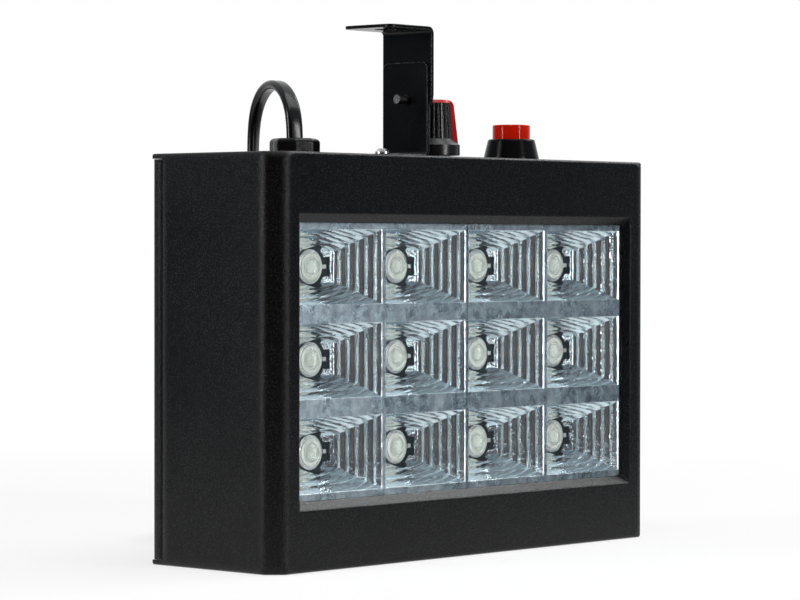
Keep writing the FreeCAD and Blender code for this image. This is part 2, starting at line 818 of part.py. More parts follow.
def build_emitters():
    """The emitter board with its twelve emitters, their lenses and legs, and its four screws."""
    board = middle_box("led_board_sheet", ("emitter_board_width", "board_thickness", "emitter_board_height"),
                       ("0", f"{FLOOR_BACK} + board_thickness / 2", MIDDLE))
    holes = [rod(f"led_board_hole_{number}", "board_screw_radius + screw_slack",
                 "board_thickness + 2 * cut_overrun", (x, f"{EMITTER_BOARD_BACK} + cut_overrun", z), "front")
             for number, (x, z) in enumerate(EMITTER_SCREW_PLACES)]
    node("led_board", cut("led_board", board, holes))

    body = turned_body("emitter_body", [
        ("0", "0"), ("emitter_ring_radius", "0"), ("emitter_ring_radius", "emitter_ring_height - leg_thickness"),
        ("emitter_ring_radius - leg_thickness", "emitter_ring_height"),
        ("emitter_body_radius", "emitter_ring_height"),
        ("emitter_body_radius", "emitter_body_height"), ("emitter_dome_radius", "emitter_body_height"),
        ("emitter_dome_radius", "emitter_cup_level"), ("0", "emitter_cup_level"),
    ], heading="front")
    ball = doc.addObject("Part::Sphere", "emitter_ball")
    bind(ball, {"Radius": "emitter_dome_radius - cap_gap / 2"})
    at(ball, "0", "-emitter_body_height", "0")
    span = "2 * emitter_dome_radius"
    front_half = middle_box("emitter_ball_room", (span, span, span),
                            ("0", "-emitter_body_height - emitter_dome_radius", "0"))
    lens = fuse("emitter_lens", [
        common("emitter_dome", ball, front_half),
        rod("emitter_lens_root", "emitter_dome_radius - cap_gap / 2", "emitter_body_height - emitter_cup_level",
            ("0", "-emitter_cup_level", "0"), "front"),
    ])
    leg_length = "leg_span / 2 - emitter_ring_radius"
    legs = [box(f"emitter_leg_{number}", (leg_length, "leg_thickness", "leg_width"),
                (x, "-leg_thickness", "-leg_width / 2"))
            for number, x in enumerate(("emitter_ring_radius", "-leg_span / 2"))]
    pair = group("emitter_leg_pair", legs)
    for name, piece in (("led_emitters", body), ("emitter_lenses", lens), ("emitter_legs", pair)):
        copies = [moved(f"{name}_{number}", piece, x, FLOOR_BACK, z) for number, (x, z) in enumerate(CELL_PLACES)]
        node(name, group(name, copies))


def build_board_screws():
    """Cheese-headed screws that hold both boards to their posts."""
    head, shank = "board_screw_head_height", "board_screw_length"
    blank = turned_body("board_screw_blank", [
        ("0", f"-{shank}"), ("board_screw_radius", f"-{shank}"), ("board_screw_radius", "0"),
        ("board_screw_head_radius", "0"), ("board_screw_head_radius", head), ("0", head),
    ], heading="back")
    screw = cut("board_screw", blank, cross_recess("board_screw_recess", head))
    copies = [moved(f"led_board_screw_{number}", screw, x, EMITTER_BOARD_BACK, z)
              for number, (x, z) in enumerate(EMITTER_SCREW_PLACES)]
    node("led_board_screws", group("led_board_screws", copies))
    back_to_front = turned(group("driver_screw_turned", [screw]), UP, 180)
    copies = [moved(f"driver_screw_{number}", back_to_front, x, DRIVER_FRONT, z)
              for number, (x, z) in enumerate(DRIVER_SCREW_PLACES)]
    node("driver_board_screws", group("driver_board_screws", copies))


def build_driver():
    """The driver board and what it carries: capacitors, transformer, transistor, heat sink, fuse, terminals."""
    board = middle_box("driver_board_sheet", ("driver_width", "board_thickness", "driver_height"),
                       ("0", f"{DRIVER_FRONT} + board_thickness / 2", "driver_centre_z"))
    holes = [rod(f"driver_board_hole_{number}", "board_screw_radius + screw_slack",
                 "board_thickness + 2 * cut_overrun", (x, f"{DRIVER_BACK} + cut_overrun", z), "front")
             for number, (x, z) in enumerate(DRIVER_SCREW_PLACES)]
    node("driver_board", cut("driver_board", board, holes))

    can = turned_body("capacitor_can", [
        ("0", "0"), ("capacitor_radius - fin_thickness / 2", "0"), ("capacitor_radius", "fin_thickness / 2"),
        ("capacitor_radius", "fin_thickness * 2"),
        ("capacitor_radius - fin_thickness / 2", "fin_thickness * 5 / 2"),
        ("capacitor_radius", "fin_thickness * 3"), ("capacitor_radius", "component_reach"),
        ("0", "component_reach"),
    ], heading="front")
    cans = [moved(f"filter_capacitor_{number}", can, f"capacitor_x + {step} * capacitor_spacing",
                  DRIVER_FRONT, "capacitor_z")
            for number, step in enumerate(("0", "1"))]
    node("filter_capacitors", group("filter_capacitors", cans))

    core_block = box("core_block", ("transformer_width", "component_reach", "transformer_height"),
                     ("transformer_x", f"{DRIVER_FRONT} - component_reach",
                      "capacitor_z - transformer_height / 2"))
    window = box("core_window", ("transformer_width - transformer_core", "component_reach + 2 * cut_overrun",
                                 "transformer_height - transformer_core"),
                 ("transformer_x + transformer_core / 2", f"{DRIVER_FRONT} - component_reach - cut_overrun",
                  "capacitor_z - (transformer_height - transformer_core) / 2"))
    node("transformer_core", cut("transformer_core", core_block, [window]))
    winding = box("winding_block", ("transformer_width - transformer_core - 2 * seam_gap", "component_reach",
                                    "transformer_height - transformer_core - 2 * seam_gap"),
                  ("transformer_x + transformer_core / 2 + seam_gap", f"{DRIVER_FRONT} - component_reach",
                   "capacitor_z - (transformer_height - transformer_core) / 2 + seam_gap"))
    node("transformer_winding", rounded("transformer_winding", winding, "transformer_flange",
                                        lambda edge: runs_along(edge, "y")))

    sink_z = "driver_centre_z + transistor_thickness / 2"
    node("power_transistor", box("power_transistor",
                                 ("transistor_width", "component_reach", "transistor_thickness"),
                                 ("transistor_x - transistor_width / 2", f"{DRIVER_FRONT} - component_reach",
                                  "driver_centre_z - transistor_thickness / 2")))
    parts = [box("sink_base", ("heat_sink_width", "heat_sink_height", "heat_sink_base"),
                 ("transistor_x - heat_sink_width / 2", f"{DRIVER_FRONT} - heat_sink_height", sink_z))]
    for fin in range(int(size("heat_sink_fins"))):
        spacing = "(heat_sink_width - fin_thickness) / (heat_sink_fins - 1)"
        x = f"transistor_x - heat_sink_width / 2 + {fin} * {spacing}"
        parts.append(box(f"sink_fin_{fin}", ("fin_thickness", "heat_sink_height", "fin_length + heat_sink_base"),
                         (x, f"{DRIVER_FRONT} - heat_sink_height", sink_z)))
    node("heat_sink", fuse("heat_sink", parts))

    block = box("terminal_body", ("terminal_width", "terminal_length", "terminal_height"),
                ("terminal_x - terminal_width / 2", f"{DRIVER_FRONT} - terminal_length", "terminal_z"))
    entries = []
    for number, sign in enumerate(SIDES):
        x = f"terminal_x + {sign} * terminal_width / 4"
        entries.append(rod(f"terminal_entry_{number}", "terminal_hole_radius", "terminal_height / 2",
                           (x, f"{DRIVER_FRONT} - terminal_length / 3", "terminal_z + terminal_height / 2"),
                           "up"))
        entries.append(rod(f"terminal_screw_well_{number}", "terminal_hole_radius", "terminal_length / 4",
                           (x, f"{DRIVER_FRONT} - terminal_length", "terminal_z + terminal_height / 2"), "back"))
    node("terminal_block", cut("terminal_block", block, entries))

    fuse_y = f"{DRIVER_FRONT} - fuse_lift"
    outer = rod("fuse_glass", "fuse_radius - fuse_cap_wall", "fuse_length - 2 * fuse_cap_wall",
                ("fuse_x + fuse_cap_wall", fuse_y, "fuse_z"), "right")
    inner = rod("fuse_bore", "fuse_radius - 3 * fuse_cap_wall", "fuse_length",
                ("fuse_x", fuse_y, "fuse_z"), "right")
    node("fuse_tube", cut("fuse_tube", outer, [inner]))
    caps, clips = [], []
    for number, (cap_x, hollow_x, clip_x) in enumerate((
            ("fuse_x", "fuse_x + fuse_cap_wall", "fuse_x + (fuse_cap_length - fuse_clip_width) / 2"),
            ("fuse_x + fuse_length - fuse_cap_length", "fuse_x + fuse_length - fuse_cap_length - fuse_cap_wall",
             "fuse_x + fuse_length - (fuse_cap_length + fuse_clip_width) / 2"))):
        cup = rod(f"fuse_cup_{number}", "fuse_radius", "fuse_cap_length", (cap_x, fuse_y, "fuse_z"), "right")
        hollow = rod(f"fuse_cup_hollow_{number}", "fuse_radius - fuse_cap_wall", "fuse_cap_length",
                     (hollow_x, fuse_y, "fuse_z"), "right")
        caps.append(cut(f"fuse_cap_{number}", cup, [hollow]))
        clip = box(f"fuse_clip_block_{number}",
                   ("fuse_clip_width", "fuse_lift", "2 * (fuse_radius + fuse_clip_wall)"),
                   (clip_x, fuse_y, "fuse_z - fuse_radius - fuse_clip_wall"))
        seat = rod(f"fuse_clip_seat_{number}", "fuse_radius", "fuse_clip_width + 2 * cut_overrun",
                   (f"{clip_x} - cut_overrun", fuse_y, "fuse_z"), "right")
        clips.append(cut(f"fuse_clip_{number}", clip, [seat]))
    node("fuse_caps", group("fuse_caps", caps))
    node("fuse_clips", group("fuse_clips", clips))


def stadium(centre, along, across, width, thickness):
    """The section of a flat lead, square to its line: two straight sides and two round ends."""
    face_way = along.cross(across).normalize() * (thickness / 2)
    side_way = across * ((width - thickness) / 2)
    tip = across * (width / 2)
    corners = [centre - side_way - face_way, centre + side_way - face_way,
               centre + side_way + face_way, centre - side_way + face_way]
    return Part.Wire([
        Part.LineSegment(corners[0], corners[1]).toShape(),
        Part.Arc(corners[1], centre + tip, corners[2]).toShape(),
        Part.LineSegment(corners[2], corners[3]).toShape(),
        Part.Arc(corners[3], centre - tip, corners[0]).toShape(),
    ])


def build_speed_control():
    """The potentiometer with its nut and shaft, the fluted knob and its coloured pointer."""
    place = ("knob_x", "control_line_y", TOP)
    bore = "shaft_radius + shaft_running_gap"
    can = turned_body("pot_can", [
        ("0", "-wall - pot_body_height"), ("pot_body_radius", "-wall - pot_body_height"),
        ("pot_body_radius", "-wall"), ("pot_bush_radius", "-wall"), ("pot_bush_radius", "pot_bush_rise"),
        (bore, "pot_bush_rise"),
        (bore, "-shaft_depth"), ("0", "-shaft_depth"),
    ], place)
    tags = [box(f"pot_tag_{number}", ("pot_terminal_width", "pot_body_radius + pot_terminal_length - shaft_depth",
                                      "pot_terminal_thickness"),
                (f"knob_x + {step} * pot_terminal_pitch - pot_terminal_width / 2", "control_line_y + shaft_depth",
                 f"{TOP_INSIDE} - pot_body_height"))
            for number, step in enumerate(("-1", "0", "1"))]
    node("potentiometer", fuse("potentiometer", [can] + tags))
    nut = hexagon("pot_nut_blank", "pot_nut_flats", "pot_nut_height", place)
    node("potentiometer_nut", cut("potentiometer_nut", nut, [
        rod("pot_nut_bore", "pot_bush_radius + screw_fit_gap", "3 * pot_nut_height",
            ("knob_x", "control_line_y", f"{TOP} - pot_nut_height"))]))
    node("potentiometer_shaft", rod("potentiometer_shaft", "shaft_radius", "shaft_depth + shaft_rise",
                                    ("knob_x", "control_line_y", f"{TOP} - shaft_depth")))

    seat = "shaft_radius + screw_fit_gap"
    body = turned_body("knob_body", [
        ("knob_cavity_radius", "0"), ("knob_skirt_radius", "0"), ("knob_skirt_radius", "knob_skirt_height"),
        ("knob_foot_radius", "knob_skirt_height + knob_shoulder_height"), ("knob_top_radius", "knob_height"),
        ("0", "knob_height"), ("0", "shaft_rise - knob_lift"), (seat, "shaft_rise - knob_lift"),
        (seat, "knob_cavity_height"), ("knob_cavity_radius", "knob_cavity_height"),
    ])
    ends = []
    for number, (radius, level) in enumerate((("knob_foot_radius", "knob_skirt_height + knob_shoulder_height"),
                                              ("knob_top_radius", "knob_height"))):
        sketch = new_sketch(body, f"knob_groove_end_{number}")
        bind(sketch, {".AttachmentOffset.Base.z": level})
        sketch.addGeometry(Part.Circle(Vector(1, 0, 0), UP_VECTOR, 1), False)
        constrain(sketch, "PointOnObject", 0, 3, -1)
        constrain(sketch, "DistanceX", -1, 1, 0, 3, value=radius)
        constrain(sketch, "Radius", 0, value="knob_flute_radius")
        ends.append(sketch)
    doc.recompute()
    groove = body.newObject("PartDesign::SubtractiveLoft", "knob_groove")
    groove.Profile = ends[0]
    groove.Sections = [ends[1]]
    doc.recompute()
    pattern = body.newObject("PartDesign::PolarPattern", "knob_grooves")
    pattern.Originals = [groove]
    pattern.Axis = (origin_plane(body, "Z_Axis"), [""])
    pattern.Angle = 360
    bind(pattern, {"Occurrences": "knob_flutes"})
    body.Tip = pattern

    fin = wedge("marker_fin_upright", ("0", "marker_fin_width"), ("0", "marker_fin_width"),
                "knob_height + marker_cap_height - knob_skirt_height", ("0", "0", "knob_skirt_height"))
    bind(fin, {
        "Xmin": "knob_top_radius - marker_fin_root", "Xmax": "knob_foot_radius + marker_fin_foot",
        "X2min": "knob_top_radius - marker_fin_root", "X2max": "knob_top_radius + marker_fin_head",
    })
    turned(fin, *DIRECTIONS["front"])
    crown = size("knob_height") + size("marker_cap_height")
    soft_fin = rounded("marker_fin_soft", fin, "marker_fin_round",
                       lambda edge: runs_along(edge, "y") and near(edge.CenterOfMass.z, crown)
                       and edge.CenterOfMass.x > size("knob_top_radius"))
    fin_at_angle = turned(group("marker_fin", [soft_fin]), UP, size("marker_turn"))
    cap = cone("marker_cap", "knob_top_radius", "knob_top_radius - marker_cap_height / 2", "marker_cap_height",
               ("0", "0", "knob_height"))
    knob = cut("knob_with_seat", body, [fin_at_angle])
    marker = fuse("marker_pieces", [cap, fin_at_angle])
    lifted = ("knob_x", "control_line_y", f"{TOP} + knob_lift")
    node("speed_knob", moved("speed_knob", knob, *lifted))
    node("knob_marker", moved("knob_marker", marker, *lifted))


def build_push_button():
    """The push button: collar and thread, nut, contact body, cap with stem, and return spring."""
    place = ("button_x", "control_line_y", TOP)
    well, stem_bore = "cap_radius + cap_gap", "stem_radius + stem_gap"
    cap_base = "switch_collar_height - cap_skirt"
    bore_floor = f"{cap_base} - stem_length - press_travel - stem_well_slack"
    barrel = turned_body("button_barrel", [
        ("0", "-switch_thread_length"), ("switch_thread_radius", "-switch_thread_length"),
        ("switch_thread_radius", "0"), ("switch_foot_radius", "0"), ("switch_foot_radius", "switch_foot_height"),
        ("switch_neck_radius", "switch_collar_height"), (well, "switch_collar_height"),
        (well, "switch_well_floor"), (stem_bore, "switch_well_floor"), (stem_bore, bore_floor), ("0", bore_floor),
    ], place)
    crown = size("housing_height") + size("switch_collar_height")
    widest = 2 * size("switch_neck_radius") - size("same_place")
    node("push_button_barrel", rounded("push_button_barrel", barrel, "switch_collar_round",
                                       lambda edge: near(edge.BoundBox.ZMin, crown)
                                       and near(edge.BoundBox.ZMax, crown) and edge.BoundBox.XLength > widest))
    nut = hexagon("button_nut_blank", "switch_nut_flats", "switch_nut_height",
                  ("button_x", "control_line_y", f"{TOP_INSIDE} - switch_nut_height"))
    node("push_button_nut", cut("push_button_nut", nut, [
        rod("button_nut_bore", "switch_thread_radius + screw_fit_gap", "3 * switch_nut_height",
            ("button_x", "control_line_y", f"{TOP_INSIDE} - 2 * switch_nut_height"))]))
    floor = f"{TOP} - switch_thread_length - switch_body_length"
    pieces = [rod("contact_can", "switch_body_radius", "switch_body_length",
                  ("button_x", "control_line_y", floor))]
    for number, side in enumerate(SIDES):
        pieces.append(box(f"contact_tab_{number}",
                          ("switch_tab_thickness", "switch_tab_width", "switch_tab_length"),
                          (f"button_x + {side} * switch_tab_pitch / 2 - switch_tab_thickness / 2",
                           "control_line_y - switch_tab_width / 2", f"{floor} - switch_tab_length")))
    node("contact_body", fuse("contact_body", pieces))
    cap = turned_body("button_cap_body", [
        ("0", f"{cap_base} - stem_length"), ("stem_radius", f"{cap_base} - stem_length"),
        ("stem_radius", cap_base),
        ("cap_radius", cap_base), ("cap_radius", "switch_collar_height + cap_rise"),
        ("0", "switch_collar_height + cap_rise"),
    ], place)
    cap_top = crown + size("cap_rise")
    node("button_cap", rounded("button_cap", cap, "cap_round", lambda edge: near(edge.BoundBox.ZMin, cap_top)
                               and edge.BoundBox.XLength > size("cap_radius")))
    spiral = doc.addObject("Part::Helix", "spring_line")
    height = f"{cap_base} - switch_well_floor - 2 * spring_wire_radius"
    bind(spiral, {"Radius": "spring_radius", "Height": height, "Pitch": f"({height}) / spring_turns"})
    wire = doc.addObject("Part::Circle", "spring_wire")
    bind(wire, {"Radius": "spring_wire_radius"})
    turned(wire, *DIRECTIONS["front"])
    at(wire, "spring_radius", "0", "0")
    coil = doc.addObject("Part::Sweep", "spring_coil")
    coil.Sections = [wire]
    coil.Spine = (spiral, ["Edge1"])
    coil.Solid = True
    coil.Frenet = True
    node("button_spring", moved("button_spring", coil, "button_x", "control_line_y",
                                f"{TOP} + switch_well_floor + spring_wire_radius"))


def build_strain_relief():
    """The faceted strain relief with its flatted neck, split line and the slot that the lead leaves by."""
    head = doc.addObject("Part::Prism", "gland_prism")
    bind(head, {"Polygon": "gland_sides", "Circumradius": "gland_flats / 2 / cos(180 / gland_sides)",
                "Height": "gland_head_height"})
    turned(head, UP, 180 / size("gland_sides"))
    crown = size("gland_head_height")
    soft = rounded("gland_soft_head", head, "gland_round", lambda edge: near(edge.BoundBox.ZMin, crown))
    slot = prism_of("lead_slot", shaped("lead_slot_section", Part.Face(stadium(
        Vector(), Vector(0, 0, 1), Vector(1, 0, 0), size("lead_width") + 2 * size("gland_slot_gap"),
        size("lead_thickness") + 2 * size("gland_slot_gap")))), UP_VECTOR, "2 * gland_slot_depth")
    at(slot, "0", "0", "gland_head_height")
    grooves = [middle_box("gland_slit", ("2 * gland_flats", "gland_split", "2 * gland_split_depth"),
                          ("0", "0", "gland_head_height"))]
    for number, side in enumerate(SIDES):
        grooves.append(middle_box(f"gland_groove_{number}",
                                  ("2 * gland_split_depth", "gland_split", "4 * gland_head_height"),
                                  (f"{side} * gland_flats / 2", "0", "0")))
    top = cut("gland_cut_head", soft, [slot] + grooves)
    aligned = turned(group("gland_head", [top]), UP, size("gland_turn"))
    at(aligned, "gland_x", "control_line_y", TOP)
    neck = gland_neck("gland_neck", "0", "gland_neck_length", f"{TOP} - gland_neck_length")
    node("strain_relief", fuse("strain_relief", [aligned, neck]))


def build_bracket():
    """The lower bracket with its foot, screw and nut, the hanging arm, and the thumb screw between them."""
    sheet_thickness = size("bracket_sheet")
    foot_level = size("housing_height")
    upright = box("lower_upright", ("bracket_sheet", "lower_width", "lower_rise"),
                  ("-bracket_sheet", "control_line_y - lower_width / 2", TOP))
    foot = box("lower_foot", ("foot_length", "lower_width", "bracket_sheet"),
               ("-foot_length", "control_line_y - lower_width / 2", TOP))
    bend = rounded("lower_bend", fuse("lower_blank", [upright, foot]), "bracket_bend_radius",
                   lambda edge: runs_along(edge, "y") and near(edge.CenterOfMass.x, 0)
                   and near(edge.CenterOfMass.z, foot_level))
    inside = rounded("lower_bend_inside", bend, "bracket_inner_radius",
                     lambda edge: runs_along(edge, "y") and near(edge.CenterOfMass.x, -sheet_thickness)
                     and near(edge.CenterOfMass.z, foot_level + sheet_thickness))
    crown = foot_level + size("lower_rise")
    top_corners = rounded("lower_top_corners", inside, "lower_corner_radius",
                          lambda edge: runs_along(edge, "x") and near(edge.CenterOfMass.z, crown))
    foot_corners = rounded("lower_foot_corners", top_corners, "foot_corner_radius",
                           lambda edge: runs_along(edge, "z") and near(edge.CenterOfMass.x, -size("foot_length")))
    holes = [
        rod("lower_pivot_hole", "tilt_screw_radius + tilt_screw_gap", "3 * bracket_sheet",
            ("-2 * bracket_sheet", "control_line_y", PIVOT), "right"),
        rod("foot_hole", "foot_screw_radius + panel_hole_gap", "3 * bracket_sheet",
            ("foot_screw_x", "control_line_y", f"{TOP} - bracket_sheet")),
    ]
    node("lower_bracket", cut("lower_bracket", foot_corners, holes))

    arm_plate = box("arm_plate", ("bracket_sheet", "arm_width", "arm_rise - pivot_rise + arm_tail"),
                    ("0", "control_line_y - arm_width / 2", f"{PIVOT} - arm_tail"))
    tab = box("arm_tab", ("tab_length", "arm_width", "bracket_sheet"),
              ("bracket_sheet - tab_length", "control_line_y - arm_width / 2",
               f"{TOP} + arm_rise - bracket_sheet"))
    crown = foot_level + size("arm_rise")
    bend = rounded("arm_bend", fuse("arm_blank", [arm_plate, tab]), "bracket_bend_radius",
                   lambda edge: runs_along(edge, "y") and near(edge.CenterOfMass.x, sheet_thickness)
                   and near(edge.CenterOfMass.z, crown))
    inside = rounded("arm_bend_inside", bend, "bracket_inner_radius",
                     lambda edge: runs_along(edge, "y") and near(edge.CenterOfMass.x, 0)
                     and near(edge.CenterOfMass.z, crown - sheet_thickness))
    tail = foot_level + size("pivot_rise") - size("arm_tail")
    tail_corners = rounded("arm_tail_corners", inside, "arm_tail_radius",
                           lambda edge: runs_along(edge, "x") and near(edge.CenterOfMass.z, tail))
    tab_end = sheet_thickness - size("tab_length")
    tab_corners = rounded("arm_tab_corners", tail_corners, "tab_corner_radius",
                          lambda edge: runs_along(edge, "z") and near(edge.CenterOfMass.x, tab_end))
    holes = [
        rod("arm_pivot_hole", "tilt_screw_radius + tilt_screw_gap", "3 * bracket_sheet",
            ("-bracket_sheet", "control_line_y", PIVOT), "right"),
        rod("hanging_hole", "hanging_hole_radius", "3 * bracket_sheet",
            ("hanging_hole_x", "control_line_y", f"{TOP} + arm_rise - 2 * bracket_sheet")),
    ]
    node("hanging_arm", cut("hanging_arm", tab_corners, holes))

    seat = "bracket_sheet + tilt_washer_thickness"
    blank = turned_body("thumb_blank", [
        ("0", "-bracket_sheet - tilt_screw_point"),
        ("tilt_screw_radius - screw_slack", "-bracket_sheet - tilt_screw_point"),
        ("tilt_screw_radius", "screw_slack - bracket_sheet - tilt_screw_point"), ("tilt_screw_radius", seat),
        ("thumb_hub_radius", seat), ("thumb_hub_radius", f"{seat} + thumb_hub_length"),
        ("thumb_radius", f"{seat} + thumb_hub_length"),
        ("thumb_radius", f"{seat} + thumb_hub_length + thumb_length"),
        ("0", f"{seat} + thumb_hub_length + thumb_length"),
    ], ("0", "control_line_y", PIVOT), "right")
    grooves = [rod(f"thumb_groove_{number}", "thumb_groove_radius", "thumb_length + cut_overrun",
                   (f"{seat} + thumb_hub_length + thumb_hub_length / 2",
                    f"control_line_y + thumb_radius * cos({number} * 360 / thumb_grooves)",
                    f"{PIVOT} + thumb_radius * sin({number} * 360 / thumb_grooves)"), "right")
               for number in range(int(size("thumb_grooves")))]
    node("tilt_screw", cut("tilt_screw", blank, grooves))
    ring = rod("washer_blank", "tilt_washer_radius", "tilt_washer_thickness",
               ("bracket_sheet", "control_line_y", PIVOT), "right")
    node("tilt_washer", cut("tilt_washer", ring, [
        rod("washer_bore", "tilt_screw_radius + tilt_screw_gap", "3 * bracket_sheet",
            ("0", "control_line_y", PIVOT), "right")]))

    head, shank = "foot_screw_head_height", "foot_screw_length"
    blank = turned_body("foot_screw_blank", [
        ("0", f"-{shank}"), ("foot_screw_radius", f"-{shank}"), ("foot_screw_radius", "0"),
        ("foot_screw_head_radius", "0"), ("foot_screw_head_radius", f"{head} - foot_screw_head_round"),
        ("foot_screw_head_radius - foot_screw_head_round", head), ("0", head),
    ], heading="back")
    screw = cut("foot_screw_along_y", blank, cross_recess("foot_screw_recess", head))
    upright_screw = turned(group("foot_screw", [screw]), (1, 0, 0), 90)
    node("foot_screw", at(upright_screw, "foot_screw_x", "control_line_y", f"{TOP} + bracket_sheet"))
    nut = hexagon("foot_nut_blank", "foot_nut_flats", "foot_nut_height",
                  ("foot_screw_x", "control_line_y", f"{TOP_INSIDE} - foot_nut_height"))
    node("foot_nut", cut("foot_nut", nut, [
        rod("foot_nut_bore", "foot_screw_radius + screw_fit_gap", "3 * foot_nut_height",
            ("foot_screw_x", "control_line_y", f"{TOP_INSIDE} - 2 * foot_nut_height"))]))


def bends(points):
    """The tangent arc at each inner point of a route, as large as its two runs allow."""
    found = []
    for before, corner, after in zip(points, points[1:], points[2:]):
        first, second = corner - before, after - corner
        reach = size("bend_share") * min(first.Length, second.Length)
        turn = first.getAngle(second)
        axis = first.cross(second).normalize()
        start = corner - first.normalize() * reach
        radius = reach / math.tan(turn / 2)
        found.append({
            "start": start, "end": corner + second.normalize() * reach, "axis": axis, "radius": radius,
            "turn": math.degrees(turn), "centre": start + axis.cross(first) * radius,
        })
    return found


def lead_along(points, across, twists):
    """A flat lead along a route: straight runs joined by tangent arcs, with a twist in degrees at each point.

    An arc without twist is revolved. A run or arc with twist is a ruled loft between turned sections.
    Gives the pieces, the length, and the direction across the lead at its end.
    """
    width, thickness = size("lead_width"), size("lead_thickness")
    pieces, length, place = [], 0, points[0]
    arcs = bends(points)
    for arc, twist in zip(arcs + [None], twists + [0]):
        target = arc["start"] if arc else points[-1]
        run = target - place
        along = Vector(run).normalize()
        section = stadium(place, along, across, width, thickness)
        pieces.append(Part.Face(section).extrude(run))
        length += run.Length
        place = target
        if not arc:
            continue
        length += math.radians(arc["turn"]) * arc["radius"]
        if twist == 0:
            section = stadium(place, along, across, width, thickness)
            pieces.append(Part.Face(section).revolve(arc["centre"], arc["axis"], arc["turn"]))
            across = Rotation(arc["axis"], arc["turn"]).multVec(across)
        else:
            steps = max(math.ceil(abs(twist) / size("twist_step")), 2)
            sections = []
            for step in range(steps + 1):
                swing = Rotation(arc["axis"], arc["turn"] * step / steps)
                heading = swing.multVec(along)
                side = Rotation(heading, twist * step / steps).multVec(swing.multVec(across))
                spot = arc["centre"] + swing.multVec(place - arc["centre"])
                sections.append(stadium(spot, heading, side, width, thickness))
            pieces += [Part.makeLoft([one, other], True, True) for one, other in zip(sections, sections[1:])]
            across = side
        place = arc["end"]
    return pieces, length, across


def joined(pieces):
    """Several solids that meet face to face as one."""
    whole = pieces[0].multiFuse(pieces[1:]).removeSplitter()
    return whole.Solids[0] if len(whole.Solids) == 1 else whole


def coil_line(start, heading):
    """Points and directions of the coil's line, from its straight start to its straight end.

    The turns spiral in on the floor layer and out again on the next, and climb in the half turn where
    the spiral reverses.
    """
    turns, layers = int(size("coil_turns_each_layer")), int(size("coil_layers"))
    pitch, rise = size("coil_turn_pitch"), size("coil_layer_pitch")
    outer = size("coil_mean_radius") + pitch * turns / 2
    drift = pitch / math.tau
    quarters = 4 * turns
    entry = math.atan2(heading.y, heading.x) - math.pi / 2 - math.atan2(drift, outer)
    first = start + heading * size("coil_lead_in")
    centre = first - Vector(math.cos(entry), math.sin(entry), 0) * outer
    line = [(start, heading)]
    steps = [float(step) for step in range(layers * quarters + 1)]
    steps.append(layers * quarters + size("coil_extra_turn") / 90)
    for step in steps:
        layer = min(int(step // quarters), layers - 1)
        inwards = layer % 2 == 0
        within = step - layer * quarters
        wound = within if inwards else quarters - within
        radius = outer - pitch * wound / 4
        way = -drift if inwards else drift
        climb = 0
        if within == 0 and layer > 0:
            way, climb = 0, rise / (math.pi / 2 * radius)
            height = rise * (layer - 1 / 2)
        else:
            height = rise * layer
        turn = entry + math.pi / 2 * step
        out = Vector(math.cos(turn), math.sin(turn), 0)
        round_way = Vector(-math.sin(turn), math.cos(turn), 0)
        direction = (round_way * radius + out * way).normalize()
        direction = (direction + Vector(0, 0, climb)).normalize()
        line.append((Vector(centre.x, centre.y, start.z + height) + out * radius, direction))
    place, direction = line[-1]
    line.append((place + direction * size("coil_lead_out"), direction))
    return line


def biarc(first, first_way, last, last_way):
    """Two arcs, tangent to each other, that join two places with given directions."""
    chord = last - first
    both = first_way + last_way
    spread = 2 * (1 - first_way.dot(last_way))
    along = chord.dot(both)
    reach = (-along + math.sqrt(along * along + spread * chord.dot(chord))) / spread
    joint = (first + first_way * reach + last - last_way * reach) / 2
    arcs = []
    for start, way, end in ((first, first_way, joint), (last, last_way * -1, joint)):
        half = (end - start) / 2
        tilt = way.getAngle(half)
        side = (half.cross(way)).cross(half).normalize()
        arcs.append(Part.Arc(start, start + half + side * (half.Length * math.tan(tilt / 2)), end).toShape())
    return arcs


def wound(line, across):
    """The coil's tube: a flat section carried along straight ends and biarcs."""
    edges = [Part.LineSegment(line[0][0], line[1][0]).toShape()]
    for (first, first_way), (last, last_way) in zip(line[1:-2], line[2:-1]):
        edges += biarc(first, first_way, last, last_way)
    edges.append(Part.LineSegment(line[-2][0], line[-1][0]).toShape())
    path = Part.Wire(edges)
    shell = Part.BRepOffsetAPI.MakePipeShell(path)
    shell.add(stadium(line[0][0], line[0][1], across, size("lead_width"), size("lead_thickness")))
    shell.build()
    shell.makeSolid()
    return shell.shape(), path


def least_gap(path):
    """The least distance between neighbouring turns of the coil, on points of their outlines."""
    width, thickness = size("lead_width"), size("lead_thickness")
    spacing = thickness
    places = path.discretize(int(path.Length / spacing))
    rings = []
    for place, after in zip(places, places[1:]):
        along = (after - place).normalize()
        level = (UP_VECTOR - along * along.dot(UP_VECTOR)).normalize()
        rings.append((place, stadium(place, along, level, width, thickness).discretize(16)))
    apart = int(4 * width / spacing)
    least = width
    for index, (place, ring) in enumerate(rings):
        for other_place, other_ring in rings[index + apart:]:
            if (other_place - place).Length < 2 * width:
                least = min(least, min(one.distanceToPoint(two) for one in ring for two in other_ring))
    return least


